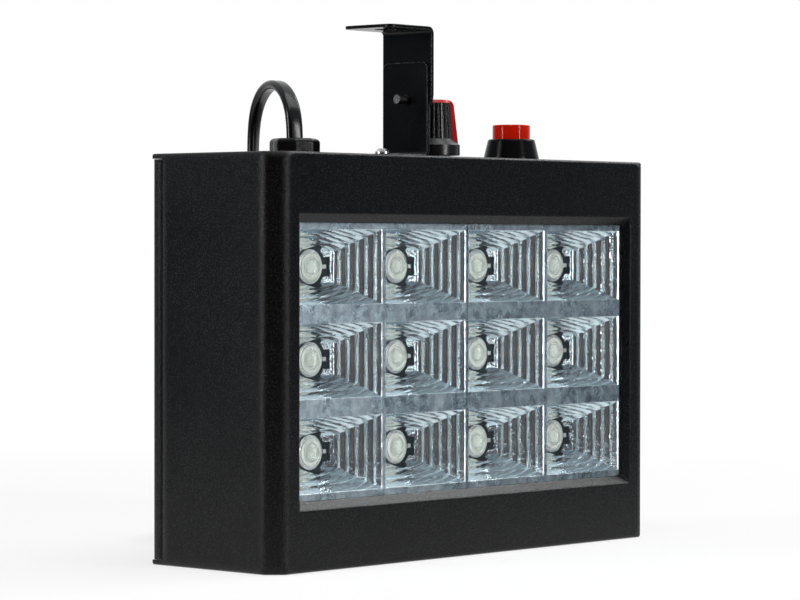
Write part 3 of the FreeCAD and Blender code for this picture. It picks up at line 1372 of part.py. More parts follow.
def build_lead():
    """The flat lead, its put-away coil, the twisted tail, and the moulded plug with its blades."""
    outline_of_lead = stadium(Vector(), UP_VECTOR, Vector(1, 0, 0), size("lead_width"), size("lead_thickness"))
    section = Part.Face(outline_of_lead).Area
    route = [Vector(*point) for point in LEAD_ROUTE]
    across = Rotation(UP_VECTOR, size("gland_turn")).multVec(Vector(1, 0, 0))
    untwist = [0] * ARCH_BENDS + [-size("gland_turn") / DROP_BENDS] * DROP_BENDS + [0] * FLOOR_BENDS
    pieces, length, side = lead_along(route, across, untwist)
    radii = [arc["radius"] for arc in bends(route)]
    print("lead radii", " ".join(f"{radius:.1f}" for radius in radii))
    lead = joined(pieces)
    print(f"lead volume {lead.Volume:.1f} section by length {section * length:.1f} length {length:.1f}")
    node("mains_lead", shaped("mains_lead", lead))

    heading = (route[-1] - route[-2]).normalize()
    side = (side - heading * side.dot(heading)).normalize()
    line = coil_line(route[-1], heading)
    coil, path = wound(line, side)
    print(f"coil volume {coil.Volume:.1f} section by length {section * path.Length:.1f} length {path.Length:.1f}")
    print(f"coil least gap {least_gap(path):.2f}")
    node("lead_coil", shaped("lead_coil", coil))

    start, heading = line[-1]
    plug_level = size("plug_thickness") / 2 + size("floor_gap")
    fall = Vector(0, 0, plug_level - start.z)
    tail_length = size("tail_length")
    tail = [start + heading * (tail_length * along_share) + fall * fall_share
            for along_share, fall_share in TAIL_SHARES]
    pieces, tail_real, side = lead_along(tail, UP_VECTOR, [size("tail_twist") / 2, size("tail_twist") / 2])
    lead_tail = joined(pieces)
    print(f"tail volume {lead_tail.Volume:.1f} section by length {section * tail_real:.1f} length {tail_real:.1f}")
    node("lead_tail", shaped("lead_tail", lead_tail))
    print(f"whole lead {length + path.Length + tail_real:.0f}")
    build_plug(tail[-1], heading)


def build_plug(place, heading):
    """The moulded plug with its ribbed relief and two blades, lying flat at the end of the tail."""
    relief = wedge("plug_relief", ("relief_end_width", "relief_end_thickness"),
                   ("plug_neck_width", "plug_neck_thickness"), "relief_length", ("0", "0", "0"))
    ribs = []
    for number in range(int(size("relief_slots"))):
        share = f"({number} + 1) / (relief_slots + 1)"
        for way in SIDES:
            depth = f"(relief_end_width + (plug_neck_width - relief_end_width) * {share}) / 2 - relief_slot_depth"
            corner_x = depth if way == "1" else f"-({depth}) - 2 * relief_slot_depth"
            ribs.append(box(f"relief_slot_{number}_{len(ribs)}",
                            ("2 * relief_slot_depth", "relief_slot_width", "plug_thickness"),
                            (corner_x, f"relief_length * {share} - relief_slot_width / 2", "-plug_thickness / 2")))
    neck = wedge("plug_neck", ("plug_neck_width", "plug_neck_thickness"), ("plug_width", "plug_thickness"),
                 "plug_taper", ("0", "relief_length", "0"))
    block = box("plug_block", ("plug_width", "plug_length - plug_taper", "plug_thickness"),
                ("-plug_width / 2", "relief_length + plug_taper", "-plug_thickness / 2"))
    end = "relief_length + plug_length"
    blades = []
    for number, way in enumerate(SIDES):
        centre_x = f"{way} * blade_spacing / 2"
        blade = box(f"blade_sheet_{number}", ("blade_thickness", "blade_length + blade_root", "blade_width"),
                    (f"{centre_x} - blade_thickness / 2", f"{end} - blade_root", "-blade_width / 2"))
        tip = size("relief_length") + size("plug_length") + size("blade_length")
        soft = rounded(f"blade_tip_{number}", blade, "blade_tip_round",
                       lambda edge: runs_along(edge, "x") and near(edge.CenterOfMass.y, tip))
        eye = rod(f"blade_eye_{number}", "blade_tip_round", "3 * blade_thickness",
                  (f"{centre_x} - 3 * blade_thickness / 2", f"{end} + blade_length - blade_width / 2", "0"),
                  "right")
        blades.append(cut(f"blade_{number}", soft, [eye]))
    pins = group("plug_pins", blades)
    body = fuse("plug_blank", [cut("plug_relief_cut", relief, ribs), neck, block])
    softened = rounded("plug_soft", body, "plug_round", lambda edge: runs_along(edge, "y")
                       and edge.BoundBox.YMin > size("relief_length"))
    sockets = cut("plug_moulded", softened, [pins])
    angle = math.degrees(math.atan2(heading.y, heading.x)) - 90
    for name, piece in (("plug_body", sockets), ("plug_blades", pins)):
        laid = group(name, [piece])
        laid.Placement = Placement(place, Rotation(UP_VECTOR, angle))
        node(name, laid)


def check_document():
    """Stops when an object failed to build or a sub-part's shape is unsound."""
    doc.recompute()
    for item in doc.Objects:
        if "Invalid" in item.State or "Error" in item.State:
            raise RuntimeError(f"{item.Name} failed: {item.State}")
    for name, item in nodes:
        if item.Shape.isNull() or not item.Shape.isValid() or not item.Shape.Solids:
            raise RuntimeError(f"{name} has no sound shape")


build_housing()
build_cover()
build_window()
build_reflectors()
build_emitters()
build_board_screws()
build_driver()
build_speed_control()
build_push_button()
build_strain_relief()
build_bracket()
build_lead()
check_document()
for name, item in nodes:
    item.Shape.exportStep(f"parts/{name}.step")
print(len(nodes), "sub-parts")
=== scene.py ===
"""Room strobe light with twelve emitters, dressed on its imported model."""
import json
import math

import bpy
from mathutils import Matrix, Vector


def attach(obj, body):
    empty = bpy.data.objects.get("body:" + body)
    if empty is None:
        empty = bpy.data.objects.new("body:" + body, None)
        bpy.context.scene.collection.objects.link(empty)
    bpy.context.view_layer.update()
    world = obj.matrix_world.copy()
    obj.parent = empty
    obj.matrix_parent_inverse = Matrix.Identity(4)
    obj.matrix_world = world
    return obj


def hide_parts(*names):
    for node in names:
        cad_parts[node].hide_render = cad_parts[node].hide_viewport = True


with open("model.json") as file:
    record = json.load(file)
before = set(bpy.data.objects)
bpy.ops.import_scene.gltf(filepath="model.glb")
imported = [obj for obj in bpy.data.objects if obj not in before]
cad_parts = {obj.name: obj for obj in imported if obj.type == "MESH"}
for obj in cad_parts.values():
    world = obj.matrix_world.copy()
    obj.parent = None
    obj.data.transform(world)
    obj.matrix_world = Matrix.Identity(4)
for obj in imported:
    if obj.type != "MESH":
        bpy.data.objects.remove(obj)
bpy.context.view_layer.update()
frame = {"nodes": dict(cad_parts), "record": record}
bpy.ops.object.select_all(action="DESELECT")

bpy.context.scene.view_settings.view_transform = "Standard"

MM = 0.001
NODES = frame["nodes"]


# Shader maths

class Wire:
    """A socket of a node tree, with the arithmetic that adds Math nodes to it."""

    def __init__(self, finish, socket):
        self.finish = finish
        self.socket = socket

    def __add__(self, other):
        return self.finish.maths("ADD", self, other)

    def __rsub__(self, other):
        return self.finish.maths("SUBTRACT", other, self)

    def __mul__(self, other):
        return self.finish.maths("MULTIPLY", self, other)


SOCKETS = {"colour": "Base Color", "metal": "Metallic", "rough": "Roughness", "normal": "Normal", "ior": "IOR",
           "shine": "Specular IOR Level", "clear": "Transmission Weight"}


class Finish:
    """A node tree that is built up by calls: one per procedural material or world."""

    def __init__(self, owner):
        self.owner = owner
        owner.use_nodes = True
        self.tree = owner.node_tree
        self.tree.nodes.clear()

    def node(self, kind, settings, sockets, out=0):
        """Adds a node, sets it up, feeds its sockets and gives one of its outputs."""
        made = self.tree.nodes.new(kind)
        for key, value in settings.items():
            setattr(made, key, value)
        for key, value in sockets.items():
            socket = made.inputs[key]
            if isinstance(value, Wire):
                self.tree.links.new(value.socket, socket)
            else:
                socket.default_value = value
        return Wire(self, made.outputs[out]) if len(made.outputs) else None

    def maths(self, operation, *values):
        return self.node("ShaderNodeMath", {"operation": operation}, dict(enumerate(values)))

    def blend(self, share, first, last):
        """A colour between two others."""
        sockets = {0: share}
        for key, value in ((6, first), (7, last)):
            sockets[key] = value if isinstance(value, Wire) else (*value, 1.0)
        return self.node("ShaderNodeMix", {"data_type": "RGBA", "clamp_factor": True}, sockets, 2)

    def between(self, value, low, high, to_low=0.0, to_high=1.0):
        """A value carried from one span to another, held at the ends."""
        sockets = {"Value": value, "From Min": low, "From Max": high, "To Min": to_low, "To Max": to_high}
        return self.node("ShaderNodeMapRange", {"clamp": True}, sockets)

    def held(self, value):
        """A value held between 0 and 1."""
        return self.between(value, 0.0, 1.0)

    def dot(self, first, second):
        """How far one direction goes along another."""
        return self.node("ShaderNodeVectorMath", {"operation": "DOT_PRODUCT"}, {0: first, 1: second}, "Value")

    def part_of(self, vector, axis):
        """One of the three numbers of a place or direction."""
        return self.node("ShaderNodeSeparateXYZ", {}, {0: vector}, axis)

    def place(self, scale=(1.0, 1.0, 1.0), turn=(0.0, 0.0, 0.0)):
        """Object coordinates, stretched and turned."""
        raw = self.node("ShaderNodeTexCoord", {}, {}, "Object")
        return self.node("ShaderNodeMapping", {}, {"Vector": raw, "Rotation": turn, "Scale": scale})

    def speckle(self, size, vector, detail=2.0, rough=0.5):
        """Noise whose blotches are about one size, in metres."""
        sockets = {"Vector": vector, "Scale": 1.0 / size, "Detail": detail, "Roughness": rough}
        return self.node("ShaderNodeTexNoise", {}, sockets, "Fac")

    def rounded(self, radius):
        """The surface's direction with its edges softened over a radius, in metres."""
        return self.node("ShaderNodeBevel", {"samples": 6}, {"Radius": radius})

    def edges(self, radius):
        """How much the surface turns within a radius: 0 on a flat, up to about 0.3 on a square edge."""
        flat = self.node("ShaderNodeNewGeometry", {}, {}, "Normal")
        return 1.0 - self.dot(self.rounded(radius), flat)

    def bump(self, height, depth, softened=0.0):
        """Relief on a surface, whose edges are softened over a radius in metres where one is given."""
        sockets = {"Height": height, "Distance": depth}
        if softened:
            sockets["Normal"] = self.rounded(softened)
        return self.node("ShaderNodeBump", {}, sockets)

    def ray_kinds(self, *kinds):
        """For each kind of ray that is named, a socket that gives 1 on such a ray and 0 on others."""
        outputs = self.node("ShaderNodeLightPath", {}, {}).socket.node.outputs
        return [Wire(self, outputs[kind]) for kind in kinds]

    def shader(self, **sockets):
        """The Principled shader, with words for its sockets."""
        return self.node("ShaderNodeBsdfPrincipled", {}, {SOCKETS[key]: value for key, value in sockets.items()})

    def see_through(self, tint):
        return self.node("ShaderNodeBsdfTransparent", {}, {"Color": (*tint, 1.0)})

    def either(self, share, first, last):
        """A shader mixed from two others."""
        return self.node("ShaderNodeMixShader", {}, {0: share, 1: first, 2: last})

    def finish(self, shader):
        self.node("ShaderNodeOutputMaterial", {}, {"Surface": shader})
        return self.owner

    def finish_clear(self, shader, tint):
        """Finishes a clear piece: the light of the lamps goes straight through it, with a tint."""
        shadow, = self.ray_kinds("Is Shadow Ray")
        return self.finish(self.either(shadow, shader, self.see_through(tint)))


def material(name):
    return Finish(bpy.data.materials.new(name))


# Materials

HOUSING_EDGE = 0.9 * MM
HOUSING_CORNER = 3.4 * MM
CORNER_START = 78.0 * MM
CORNER_END = 80.0 * MM

LAND_LEVEL = -21.2 * MM
LAND_MARGIN = 0.1 * MM

# Colour, colour of the stains, roughness, which way the worked lines are stretched, and their depth in metres
METALS = {
    "tinned_metal": ((0.72, 0.72, 0.70), (0.45, 0.44, 0.42), 0.28, (1.0, 1.0, 1.0), 0.00002),
    "screw_steel": ((0.70, 0.70, 0.69), (0.42, 0.41, 0.40), 0.2, (1.0, 1.0, 6.0), 0.00002),
    "screw_black": ((0.15, 0.15, 0.155), (0.05, 0.05, 0.05), 0.34, (1.0, 6.0, 1.0), 0.00003),
    "sink_aluminium": ((0.66, 0.67, 0.68), (0.5, 0.5, 0.5), 0.35, (1.0, 1.0, 0.1), 0.00003),
    "nickel": ((0.68, 0.66, 0.61), (0.45, 0.42, 0.37), 0.22, (1.0, 1.0, 8.0), 0.00002),
    "brass": ((0.78, 0.58, 0.27), (0.45, 0.30, 0.13), 0.25, (0.2, 1.0, 1.0), 0.00002),
}

# Colour, colour of the smudges, roughness, size and depth of the grain in metres, and what else a piece has
PLASTICS = {
    "emitter_white": ((0.47, 0.47, 0.42), (0.58, 0.60, 0.56), 0.30, 0.0008, 0.00002, {"swirl": 0.003}),
    "capacitor_sleeve": ((0.012, 0.02, 0.05), (0.02, 0.03, 0.07), 0.25, 0.0008, 0.00001, {}),
    "ferrite": ((0.035, 0.033, 0.032), (0.06, 0.055, 0.05), 0.6, 0.0004, 0.00008, {}),
    "winding_tape": ((0.55, 0.38, 0.05), (0.65, 0.48, 0.10), 0.3, 0.0015, 0.00004, {}),
    "transistor_black": ((0.02, 0.02, 0.021), (0.03, 0.03, 0.03), 0.5, 0.0003, 0.00003, {}),
    "terminal_green": ((0.02, 0.22, 0.07), (0.03, 0.27, 0.10), 0.4, 0.0005, 0.00002, {}),
    "knob_black": ((0.003, 0.003, 0.003), (0.006, 0.006, 0.006), 0.27, 0.0005, 0.00001,
                   {"shine": 0.4, "swirl": 0.01, "softened": 0.3 * MM}),
    "marker_red": ((0.46, 0.008, 0.008), (0.54, 0.018, 0.014), 0.32, 0.0006, 0.00001, {"shine": 0.35}),
    "button_black": ((0.0015, 0.0015, 0.0015), (0.003, 0.003, 0.003), 0.22, 0.006, 0.000002,
                     {"shine": 0.1, "softened": 0.5 * MM}),
    "button_red": ((0.46, 0.006, 0.0006), (0.54, 0.012, 0.001), 0.07, 0.006, 0.000002, {"shine": 0.12}),
    "gland_black": ((0.002, 0.002, 0.002), (0.004, 0.004, 0.004), 0.1, 0.006, 0.000002,
                    {"shine": 0.2, "softened": 0.7 * MM}),
    "lead_black": ((0.002, 0.002, 0.002), (0.004, 0.004, 0.004), 0.19, 0.008, 0.000004,
                   {"shine": 0.3, "swirl": 0.04}),
    "plug_black": ((0.010, 0.010, 0.010), (0.017, 0.017, 0.017), 0.34, 0.0006, 0.00002, {}),
}

# Colour of the solder mask, colour over the tracks, roughness and shine
LAMINATES = {
    "board_black": ((0.0015, 0.003, 0.004), (0.006, 0.010, 0.012), 0.35, 0.15),
    "board_green": ((0.01, 0.09, 0.035), (0.03, 0.17, 0.07), 0.3, 0.5),
}


def moulded(name, colour, lighter, rough, grain, depth, shine=0.5, swirl=0.02, softened=0.0):
    """Moulded plastic: spark-eroded grain, faint handling marks and a drifting shade."""
    m = material(name)
    place = m.place()
    fine = m.speckle(grain, place, 3.0, 0.6)
    smudge = m.speckle(swirl, place, 4.0, 0.55)
    shade = m.blend(m.between(smudge, 0.35, 0.7), colour, lighter)
    gloss = m.between(smudge, 0.3, 0.7, rough - 0.05, rough + 0.06) + m.between(fine, 0.3, 0.7, -0.05, 0.05)
    return m.finish(m.shader(colour=shade, rough=gloss, shine=shine, normal=m.bump(fine, depth, softened)))


def worked_metal(name, colour, tarnish, rough, stretch, depth):
    """Bare metal: drawn or turned lines, tarnish in the hollows of a slow pattern."""
    m = material(name)
    lines = m.speckle(0.0004, m.place(scale=stretch), 4.0, 0.6)
    stain = m.speckle(0.004, m.place(), 5.0, 0.6)
    shade = m.blend(m.between(stain, 0.45, 0.75, 0.0, 0.7), colour, tarnish)
    gloss = m.between(lines, 0.3, 0.7, rough - 0.06, rough + 0.08) + m.between(stain, 0.4, 0.8, 0.0, 0.15)
    return m.finish(m.shader(colour=shade, metal=1.0, rough=gloss, normal=m.bump(lines, depth)))


def board_laminate(name, mask, copper, rough, shine):
    """Glass cloth laminate under solder mask, with the weave and the tracks showing through."""
    m = material(name)
    strands = {"Vector": m.place(), "Scale": 420.0, "Distortion": 0.6}
    weave = m.node("ShaderNodeTexWave", {"bands_direction": "X"}, strands, "Fac")
    cross = m.node("ShaderNodeTexWave", {"bands_direction": "Z"}, strands, "Fac")
    cells = m.node("ShaderNodeTexVoronoi", {"feature": "DISTANCE_TO_EDGE", "distance": "MANHATTAN"},
                   {"Vector": m.place(scale=(1.0, 1.0, 1.6)), "Scale": 160.0})
    track = m.between(cells, 0.06, 0.1, 1.0, 0.0)
    shade = m.blend(track * 0.6, mask, copper)
    height = (weave + cross) * 0.2 + track
    return m.finish(m.shader(colour=shade, rough=rough, shine=shine, normal=m.bump(height, 0.00003)))


def housing_plastic(name):
    """Almost black plastic with a fine spark-eroded texture, softened most at the upright corners; the tops of the
    grain are lighter in colour, a painted glint.
    """
    m = material(name)
    place = m.place()
    grain = m.speckle(0.00030, place, 2.0, 0.55)
    coarse = m.speckle(0.0011, place, 2.0, 0.5)
    smudge = m.speckle(0.03, place, 4.0, 0.55)
    relief = grain * 0.7 + coarse * 0.3
    # The tops of the grain: lighter in colour here as painted glints, and a little rougher.
    grain_tops_painted_glint = m.between(grain, 0.52, 0.72)
    shade = m.blend(m.between(smudge, 0.3, 0.7), (0.0010, 0.0010, 0.0011), (0.0020, 0.0020, 0.0021))
    shade = m.blend(grain_tops_painted_glint, shade, (0.013, 0.013, 0.0133))
    gloss = m.between(smudge, 0.3, 0.7, 0.20, 0.25) + grain_tops_painted_glint * 0.1
    sideways = m.maths("ABSOLUTE", m.part_of(place, "X"))
    softened = m.between(sideways, CORNER_START, CORNER_END, HOUSING_EDGE, HOUSING_CORNER)
    return m.finish(m.shader(colour=shade, rough=gloss, shine=0.20, normal=m.bump(relief, 0.00011, softened)))


def window_sheet(name):
    """A clear sheet with faint wiping marks."""
    m = material(name)
    wipe = m.speckle(0.012, m.place(scale=(0.25, 1.0, 1.0), turn=(0.0, 0.6, 0.0)), 5.0, 0.7)
    gloss = m.between(wipe, 0.4, 0.8, 0.01, 0.05)
    sheet = m.shader(colour=(0.96, 0.985, 0.98, 1.0), rough=gloss, clear=1.0, ior=1.49)
    return m.finish_clear(sheet, (0.97, 0.985, 0.985))


def vacuum_chrome(name):
    """Vacuum chrome, slightly rippled in the cells and dulled on the flat land between them."""
    m = material(name)
    ripple = m.speckle(0.003, m.place(), 3.0, 0.6)
    bloom = m.speckle(0.011, m.place(scale=(1.0, 1.0, 0.6)), 5.0, 0.65)
    orange_peel = m.speckle(0.0006, m.place(), 2.0, 0.5)
    shade = m.blend(m.between(bloom, 0.4, 0.7), (0.88, 0.95, 0.985), (0.76, 0.80, 0.83))
    land = m.between(m.part_of(m.place(), "Y"), LAND_LEVEL - LAND_MARGIN, LAND_LEVEL + LAND_MARGIN, 1.0, 0.0)
    gloss = m.between(bloom, 0.35, 0.7, 0.03, 0.10) + land * m.between(bloom, 0.3, 0.7, 0.19, 0.25)
    dull = land * m.between(ripple + m.between(orange_peel, 0.3, 0.7, -0.1, 0.1), 0.35, 0.65, 0.7, 0.1)
    shade = m.blend(dull, shade, (0.40, 0.45, 0.52))
    relief = (ripple + orange_peel * 0.15) * m.between(land, 0.0, 1.0, 1.0, 0.3)
    return m.finish(m.shader(colour=shade, metal=1.0, rough=gloss, normal=m.bump(relief, 0.00010)))


def lens_resin(name):
    """The clear resin of an emitter's dome, faintly clouded."""
    m = material(name)
    cloud = m.speckle(0.0012, m.place(), 3.0, 0.6)
    shade = m.blend(m.between(cloud, 0.4, 0.7), (0.97, 0.99, 0.97), (0.90, 0.92, 0.84))
    gloss = m.between(cloud, 0.3, 0.7, 0.03, 0.1)
    dome = m.shader(colour=shade, rough=gloss, clear=0.75, ior=1.45, normal=m.bump(cloud, 0.00005))
    return m.finish_clear(dome, (0.85, 0.87, 0.83))


def bracket_paint(name):
    """Black paint on sheet steel: orange peel, a few bright specks, and a painted highlight along the edges, broken
    into dots.
    """
    m = material(name)
    peel = m.speckle(0.0009, m.place(), 2.0, 0.5)
    wear = m.speckle(0.0007, m.place(), 5.0, 0.7)
    drift = m.speckle(0.012, m.place(), 3.0, 0.5)
    # Painted highlight: the edges are lightened to grey in dots, where light would catch them; together with the few
    # bright specks this gives the lighter colour.
    painted_edge_highlight = m.between(m.edges(0.4 * MM), 0.02, 0.1) * m.between(wear, 0.42, 0.60, 0.0, 0.8)
    bare_specks_and_edge_highlight = m.between(wear, 0.78, 0.84, 0.0, 0.7) + painted_edge_highlight
    shade = m.blend(bare_specks_and_edge_highlight, (0.0018, 0.0018, 0.0020), (0.20, 0.20, 0.20))
    gloss = m.between(drift, 0.3, 0.7, 0.20, 0.26) + m.between(peel, 0.3, 0.7, 0.03, -0.03)
    return m.finish(m.shader(colour=shade, rough=gloss, shine=0.15, normal=m.bump(peel, 0.000012, 0.5 * MM)))


def fuse_tube_glass(name):
    """Glass with faint lines along the tube."""
    m = material(name)
    streak = m.speckle(0.002, m.place(scale=(0.1, 1.0, 1.0)), 3.0, 0.5)
    gloss = m.between(streak, 0.3, 0.7, 0.01, 0.06)
    return m.finish(m.shader(colour=(0.95, 0.97, 0.96, 1.0), rough=gloss, clear=1.0, ior=1.5))


def make_finishes():
    """Every material, by the record's slot names."""
    own = {"housing_black": housing_plastic, "clear_sheet": window_sheet, "reflector_chrome": vacuum_chrome,
           "lens_clear": lens_resin, "bracket_black": bracket_paint, "fuse_glass": fuse_tube_glass}
    made = {name: make(name) for name, make in own.items()}
    for name, values in LAMINATES.items():
        made[name] = board_laminate(name, *values)
    for name, values in METALS.items():
        made[name] = worked_metal(name, *values)
    for name, (*values, more) in PLASTICS.items():
        made[name] = moulded(name, *values, **more)
    return made


FINISHES = make_finishes()

for row in frame["record"]["subparts"]:
    shown = NODES[row["node"]].data
    shown.materials.clear()
    shown.materials.append(FINISHES[row["material_slot"]])


# Studio

CAMERA_PLACE = (-0.73495, -0.658123, 0.093063)
CAMERA_RIGHT = Vector((0.67009695, -0.74227264, 0.0011865))
CAMERA_AHEAD = Vector((0.74218342, 0.66998977, -0.01665754))
WHITE = (1.0, 1.0, 1.0)


def build_camera():
    """The photograph's own viewpoint."""
    data = bpy.data.cameras.new("camera")
    data.lens = 144.895
    data.sensor_width = 36.0
    data.clip_start = 0.02
    data.clip_end = 60.0
    camera = bpy.data.objects.new("camera", data)
    turn = Matrix((CAMERA_RIGHT, CAMERA_RIGHT.cross(CAMERA_AHEAD), -CAMERA_AHEAD)).transposed().to_4x4()
    camera.matrix_world = Matrix.Translation(CAMERA_PLACE) @ turn
    bpy.context.scene.collection.objects.link(camera)
    bpy.context.scene.camera = camera


def build_world():
    """A white backdrop, soft light all round, and for mirrors a dark room that opens on the backdrop."""
    world = Finish(bpy.data.worlds.new("studio"))
    way = world.node("ShaderNodeTexCoord", {}, {}, "Generated")
    facing = world.dot(way, CAMERA_AHEAD)
    backdrop = world.between(facing, 0.35, 0.75)
    seen, glossy, clear = world.ray_kinds("Is Camera Ray", "Is Glossy Ray", "Is Transmission Ray")
    mirrored = world.held(glossy + clear)
    white = world.held(seen + mirrored * backdrop)
    level = world.part_of(way, "Z")
    upright = world.node("ShaderNodeMapping", {}, {"Vector": way, "Scale": (1.0, 1.0, 0.25)})
    drift = world.node("ShaderNodeTexNoise", {}, {"Vector": upright, "Scale": 15.0, "Detail": 1.0}, "Fac")
    walls = world.blend(world.between(drift, 0.42, 0.56), (0.14, 0.072, 0.062), (0.010, 0.034, 0.044))
    sides = world.blend(world.between(drift, 0.35, 0.6), (0.08, 0.10, 0.12), (0.20, 0.245, 0.29))
    around = world.blend(world.between(facing, -0.7, -0.2), walls, sides)
    overhead = world.blend(world.between(facing, -0.4, 0.3), (0.30, 0.33, 0.36), (0.92, 0.96, 1.0))
    dark_room = world.blend(world.between(level, 0.3, 0.6), around, overhead)
    room = world.blend(mirrored, (0.26, 0.26, 0.265), dark_room)
    colour = world.blend(white, room, WHITE)
    light = world.node("ShaderNodeBackground", {}, {"Color": colour, "Strength": 1.0})
    world.node("ShaderNodeOutputWorld", {}, {"Surface": light})
    bpy.context.scene.world = world.owner


def build_floor():
    """A pale floor that keeps the object's shadow and fades into the backdrop further out.

    Mirrors see only the middle of it, and the dark room beyond."""
    bpy.ops.mesh.primitive_plane_add(size=1.1, location=(0.0, 0.1, -0.2 * MM))
    floor = bpy.context.object
    floor.name = "floor"
    m = material("floor_paper")
    place = m.place()
    tone = m.speckle(0.4, place, 3.0, 0.5)
    paper = m.shader(colour=m.blend(tone, (0.90, 0.90, 0.90), (0.93, 0.93, 0.93)), rough=1.0, shine=0.0)
    white = m.node("ShaderNodeEmission", {}, {"Color": (*WHITE, 1.0), "Strength": 1.0})
    away = m.node("ShaderNodeVectorMath", {"operation": "LENGTH"}, {0: place}, "Value")
    seen, glossy, clear = m.ray_kinds("Is Camera Ray", "Is Glossy Ray", "Is Transmission Ray")
    mirrored = glossy + clear
    share = m.held(seen * m.between(away, 0.12, 0.45, 0.74, 1.0) + mirrored * 0.97)
    end = m.held(mirrored) * m.between(away, 0.24, 0.4)
    floor.data.materials.append(m.finish(m.either(end, m.either(share, paper, white), m.see_through(WHITE))))


def soft_box(name, place, aim, wide, high, watts):
    """A rectangular lamp that faces a point."""
    data = bpy.data.lights.new(name, "AREA")
    data.shape = "RECTANGLE"
    data.size = wide
    data.size_y = high
    data.energy = watts
    lamp = bpy.data.objects.new(name, data)
    lamp.location = place
    lamp.rotation_euler = (Vector(aim) - Vector(place)).to_track_quat("-Z", "Y").to_euler()
    bpy.context.scene.collection.objects.link(lamp)


def build_lamps():
    soft_box("top_box", (0.0, -0.3, 1.0), (0.0, 0.0, 0.06), 0.9, 0.6, 5.0)
    soft_box("left_strip", (-1.05, 0.34, 0.34), (-0.08, 0.0, 0.08), 0.16, 0.6, 6.5)
    soft_box("front_strip", (0.09, -1.1, 0.26), (-0.05, 0.0, 0.08), 0.14, 0.56, 4.6)
    soft_box("rim_box", (1.05, -0.26, 0.98), (0.0, 0.0, 0.1), 0.5, 0.4, 6.0)


# Lead: places and lengths of its line are in millimetres

LEAD_WIDTH = 5.1 * MM
LEAD_THICKNESS = 2.7 * MM
LEAD_WAIST = 0.955
ROUTE = [(-49.6, 2.5, 122.9), (-49.6, 2.5, 130.1), (-48.0, 6.3, 137.3), (-45.4, 12.9, 141.4), (-42.2, 20.6, 141.4),
         (-39.6, 27.2, 137.3), (-38.0, 31.0, 130.1), (-37.6, 31.8, 117.5), (-37.8, 32.2, 98.0), (-38.3, 31.9, 66.0),
         (-38.2, 31.5, 37.5), (-37.6, 31.3, 21.8), (-30.6, 31.4, 9.4), (-17.9, 31.7, 2.6), (-6.2, 32.0, 2.6)]
COIL_HEADING = Vector((11.7, 0.3, 0.0)).normalized()
COIL_APPROACH = 6.5
COIL_RADIUS = 27.6
COIL_PITCH = 3.25
COIL_CLIMB = 5.65
COIL_CLIMB_TURNS = 0.5
COIL_TURNS = 3
COIL_STEPS = 24
TAIL_START = 5.1
TAIL_FALL = 1.7
TAIL_STEPS = ((5.0, 0.0), (11.0, 1.0), (15.9, 1.0))

# How far along the lead, in metres, its arch ends, it leaves the back and it starts on the floor
ARCH_END = 0.062
DROP_END = 0.125
FLOOR_START = 0.2
FLOOR_HEIGHT = 0.004
# How its wide side turns over the arch, in degrees, and where it lies down before the plug, in metres from the end
ARCH_FIRST = -22.3
ARCH_SWING = 45.1
LYING_START = 0.021
LYING_SPAN = 0.014


def coil_points():
    """Control points of the coil: in along the floor, up half way, and out on top, then the tail."""
    first = Vector(ROUTE[-1]) + COIL_HEADING * COIL_APPROACH
    outer = COIL_RADIUS + COIL_PITCH * COIL_TURNS / 2
    drift = COIL_PITCH / (2 * math.pi)
    entry = math.atan2(COIL_HEADING.y, COIL_HEADING.x) - math.pi / 2 - math.atan2(drift, outer)
    centre = first - Vector((math.cos(entry), math.sin(entry), 0.0)) * outer
    points = []
    for step in range(2 * COIL_TURNS * COIL_STEPS + 2):
        turns = step / COIL_STEPS
        inward = turns if turns <= COIL_TURNS else 2 * COIL_TURNS - turns
        radius = (outer - COIL_PITCH * inward) / math.cos(math.pi / COIL_STEPS)
        climb = min(max((turns - COIL_TURNS + COIL_CLIMB_TURNS / 2) / COIL_CLIMB_TURNS, 0.0), 1.0)
        angle = entry + 2 * math.pi * turns
        points.append(centre + Vector((math.cos(angle) * radius, math.sin(angle) * radius, COIL_CLIMB * climb)))
    out = Vector((-math.sin(angle), math.cos(angle), 0.0))
    last = points[-1] + out * TAIL_START
    points.append(last)
    for along, down in TAIL_STEPS:
        points.append(last + out * along - Vector((0.0, 0.0, TAIL_FALL)) * down)
    return points


def lead_line():
    """The lead's own line: one smooth spline through the route, the coil and the tail, read back as points."""
    controls = [Vector(p) for p in ROUTE] + coil_points()
    curve = bpy.data.curves.new("lead_line", "CURVE")
    curve.dimensions = "3D"
    curve.resolution_u = 8
    spline = curve.splines.new("NURBS")
    spline.points.add(len(controls) - 1)
    for point, control in zip(spline.points, controls):
        point.co = (*(control * MM), 1.0)
    spline.order_u = 3
    spline.use_endpoint_u = True
    holder = bpy.data.objects.new("lead_line", curve)
    bpy.context.scene.collection.objects.link(holder)
    bpy.context.view_layer.update()
    line = bpy.data.meshes.new_from_object(holder)
    points = [v.co.copy() for v in line.vertices]
    bpy.data.objects.remove(holder)
    bpy.data.meshes.remove(line)
    return points


def wide_way(point, along, gone, total):
    """Which way the flat lead's wide side runs at a point of its line."""
    if gone < DROP_END:
        share = min(gone / ARCH_END, 1.0)
        swing = math.radians(ARCH_FIRST + ARCH_SWING * share * share * (3 - 2 * share))
        if gone > ARCH_END:
            swing *= 1 - (gone - ARCH_END) / (DROP_END - ARCH_END)
        return Vector((math.cos(swing), math.sin(swing), 0.0))
    if point.z > FLOOR_HEIGHT and gone < FLOOR_START:
        return along.cross(Vector((0.0, 1.0, 0.0)))
    left = total - gone
    lying = min(max((LYING_START - left) / LYING_SPAN, 0.0), 1.0) * math.pi / 2
    up = Vector((0.0, 0.0, 1.0))
    return up * math.cos(lying) + along.cross(up).normalized() * math.sin(lying)


